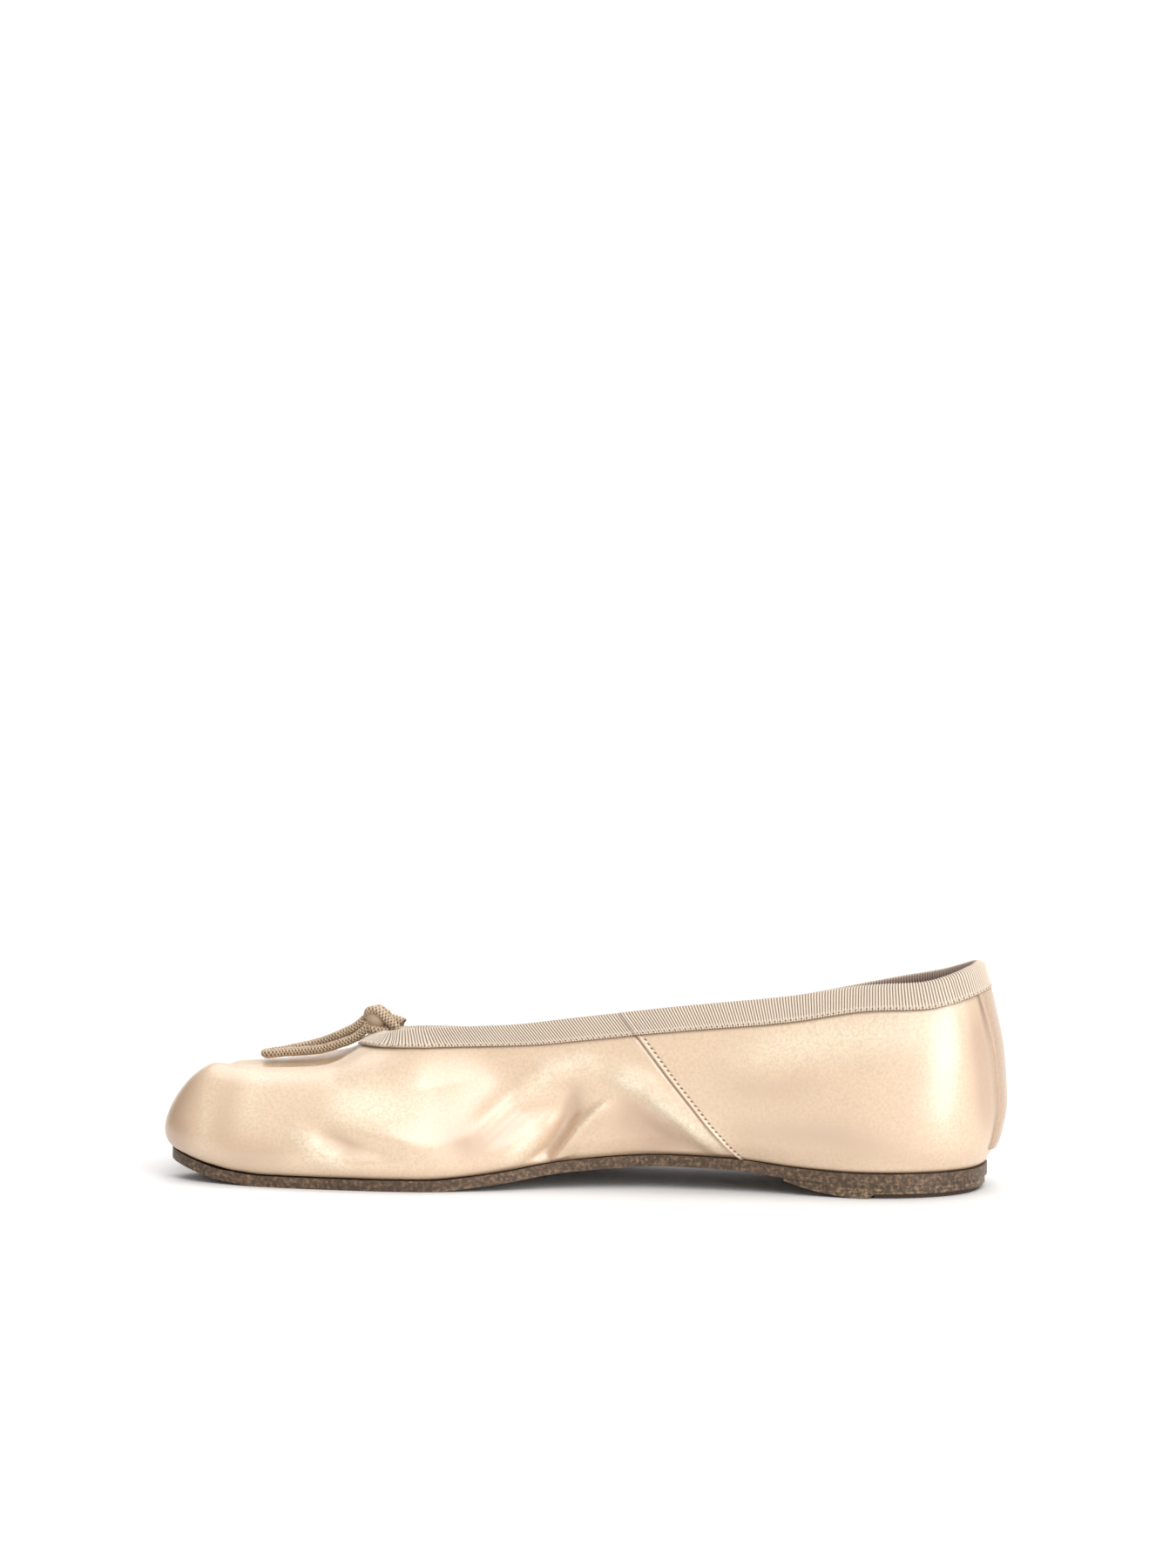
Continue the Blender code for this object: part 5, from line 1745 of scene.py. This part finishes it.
def stitchTree():
    # One small thread on each point, its length along the point's own way and its back to the surface
    tree, given, end = newTree("stitchRow", ("Length", "Thickness", "Height"))
    points = outputOf(tree, "GeometryNodeMeshToPoints", "Points", {"Mesh": given["Geometry"]})
    kind = "GeometryNodeInputNamedAttribute"
    outward, way = (
        outputOf(tree, kind, "Attribute", {"Name": name}, data_type="FLOAT_VECTOR")
        for name in ("outward", "way")
    )
    upright = outputOf(tree, "FunctionNodeAlignRotationToVector", "Rotation", {"Vector": outward}, axis="Z")
    turned = outputOf(
        tree, "FunctionNodeAlignRotationToVector", "Rotation",
        {"Vector": way, "Rotation": upright}, axis="X", pivot_axis="Z",
    )
    ball = outputOf(tree, "GeometryNodeMeshUVSphere", "Mesh", {"Segments": 8, "Rings": 6, "Radius": 0.5})
    size = outputOf(
        tree, "ShaderNodeCombineXYZ", "Vector",
        {"X": given["Length"], "Y": given["Thickness"], "Z": given["Height"]},
    )
    shaped = outputOf(tree, "GeometryNodeTransform", "Geometry", {"Geometry": ball, "Scale": size})
    smooth = outputOf(tree, "GeometryNodeSetShadeSmooth", "Geometry", {"Geometry": shaped})
    placed = outputOf(
        tree, "GeometryNodeInstanceOnPoints", "Instances",
        {"Points": points, "Instance": smooth, "Rotation": turned},
    )
    endTree(tree, placed, given["Finish"], end)
    return tree


def stitchRow(name, tree, places, outs, ways, sizes, finish):
    # A piece of many small threads: where each stands, its way outward, its own way and its sizes
    mesh = bpy.data.meshes.new(name)
    mesh.from_pydata((np.asarray(places) + shift).tolist(), [], [])
    for label, vectors in (("outward", outs), ("way", ways)):
        attribute = mesh.attributes.new(label, "FLOAT_VECTOR", "POINT")
        attribute.data.foreach_set("vector", np.asarray(vectors, np.float32).ravel())
    settings = {**dict(zip(("Length", "Thickness", "Height"), sizes)), "Finish": finish}
    addPiece(name, treeResult(name, mesh, tree, settings), None)


def threadMaterial(name, colour, shade):
    made, tree, shader = newMaterial(name)
    fine = noiseOf(tree, objectPlace(tree), 5200, 1)
    finish = {
        "Base Color": blendColour(tree, rangeOf(tree, fine, 0.35, 0.65), colour, shade),
        "Roughness": 0.55,
        "Normal": bumped(tree, fine, 0.4, 0.00003),
    }
    setSockets(tree, shader, finish)
    return made


def makeSeamStitches(tree):
    # Short slanted stitches behind the folded edge on both quarters
    dark = threadMaterial("seamThread", *seamFold["thread"])
    thickness, slant = seamFold["stitchThickness"], seamFold["slant"]
    seamRows = rowPlaces() <= 1
    places, outs, ways = [], [], []
    for seam, way in zip(seamPlaces, (-1, 1)):
        line, out, across = (part[seamRows] for part in creasedStrip(seam + way * seamFold["stitchBack"]))
        upSeam = lengths(line)
        first, end = seamFold["stitchFromFoot"], upSeam[-1] - seamFold["stitchFromHead"]
        wanted = np.arange(first, end, seamFold["stitchPitch"])
        place, out, across = (sampled(part, upSeam, wanted) for part in (line, out, across))
        run = np.gradient(place, axis=0)
        run = run / np.linalg.norm(run, axis=1)[:, None]
        places.append(place + out * thickness * seamFold["stitchOut"])
        outs.append(out)
        # Each stitch leans from the seam's own way towards the heel
        ways.append(run * math.cos(slant) + across * way * -math.sin(slant))
    places, outs, ways = (np.concatenate(part) for part in (places, outs, ways))
    sizes = (seamFold["stitchLength"], thickness, thickness)
    stitchRow("seamStitches", tree, places, outs, ways, sizes, dark)


def creasedStrip(place):
    # One column of the satin's face with its outward directions and its directions round the shoe
    # Two far columns close the ring that the face is made on
    step = 0.0002
    ringed = np.array([place - step, place, place + step, place + around / 3, place + 2 * around / 3])
    order = np.argsort(np.mod(ringed, around))
    face, normals = creasedFace(np.mod(ringed, around)[order])
    column = {old: new for new, old in enumerate(order)}
    before, middle, after = face[:, column[0]], face[:, column[1]], face[:, column[2]]
    across = after - before
    across = across / np.linalg.norm(across, axis=1)[:, None]
    up = np.gradient(middle, axis=0)
    out = np.cross(across, up)
    out = out / np.linalg.norm(out, axis=1)[:, None]
    facing = np.sign(np.sum(out * normals[:, column[1]], axis=1))[:, None]
    return middle, out * facing, across


def makeBindingStitches(tree, face, normals):
    # Threads along the ribbon's lower edge, at the ribs or between them, and dark marks of painted shade for
    # its needle holes and the shadow under the edge
    threads = {
        "light": threadMaterial("selvedgeThread", *binding["lightThread"]),
        "dark": threadMaterial("needleHoleShade", *binding["holeShade"]),
    }
    run = np.roll(face, -1, axis=1) - np.roll(face, 1, axis=1)
    run = run / np.linalg.norm(run, axis=2)[..., None]
    up = np.roll(face, -1, axis=0) - face
    up = up / np.linalg.norm(up, axis=2)[..., None]
    perRib = binding["pointsPerRib"]
    rise = binding["gapOff"] + binding["thickness"] + binding["ribHeight"] * binding["stitchOut"]
    for name, thread, row, offset, skip, lean, size in binding["stitches"]:
        pick = slice(perRib // 2 + offset, None, perRib * skip)
        low = int(row)
        place = face[low, pick] * (1 - row + low) + face[low + 1, pick] * (row - low)
        out = normals[low, pick]
        way = run[low, pick] * math.cos(lean) + up[low, pick] * math.sin(lean)
        stitchRow(name, tree, place + out * rise, out, way, size, threads[thread])


makeStudio()
makeBow()
makeUpper()
makeLining()
band, bandOut = makeBinding()
threads = stitchTree()
makeSeamStitches(threads)
makeBindingStitches(threads, band, bandOut)
# The tab's satin: a copy of the upper's, darkened as painted shade
makeTab(satinMaterial("shadedTabSatin", tab["colour"], satin["shade"]))
makeSole()
makeInsole()
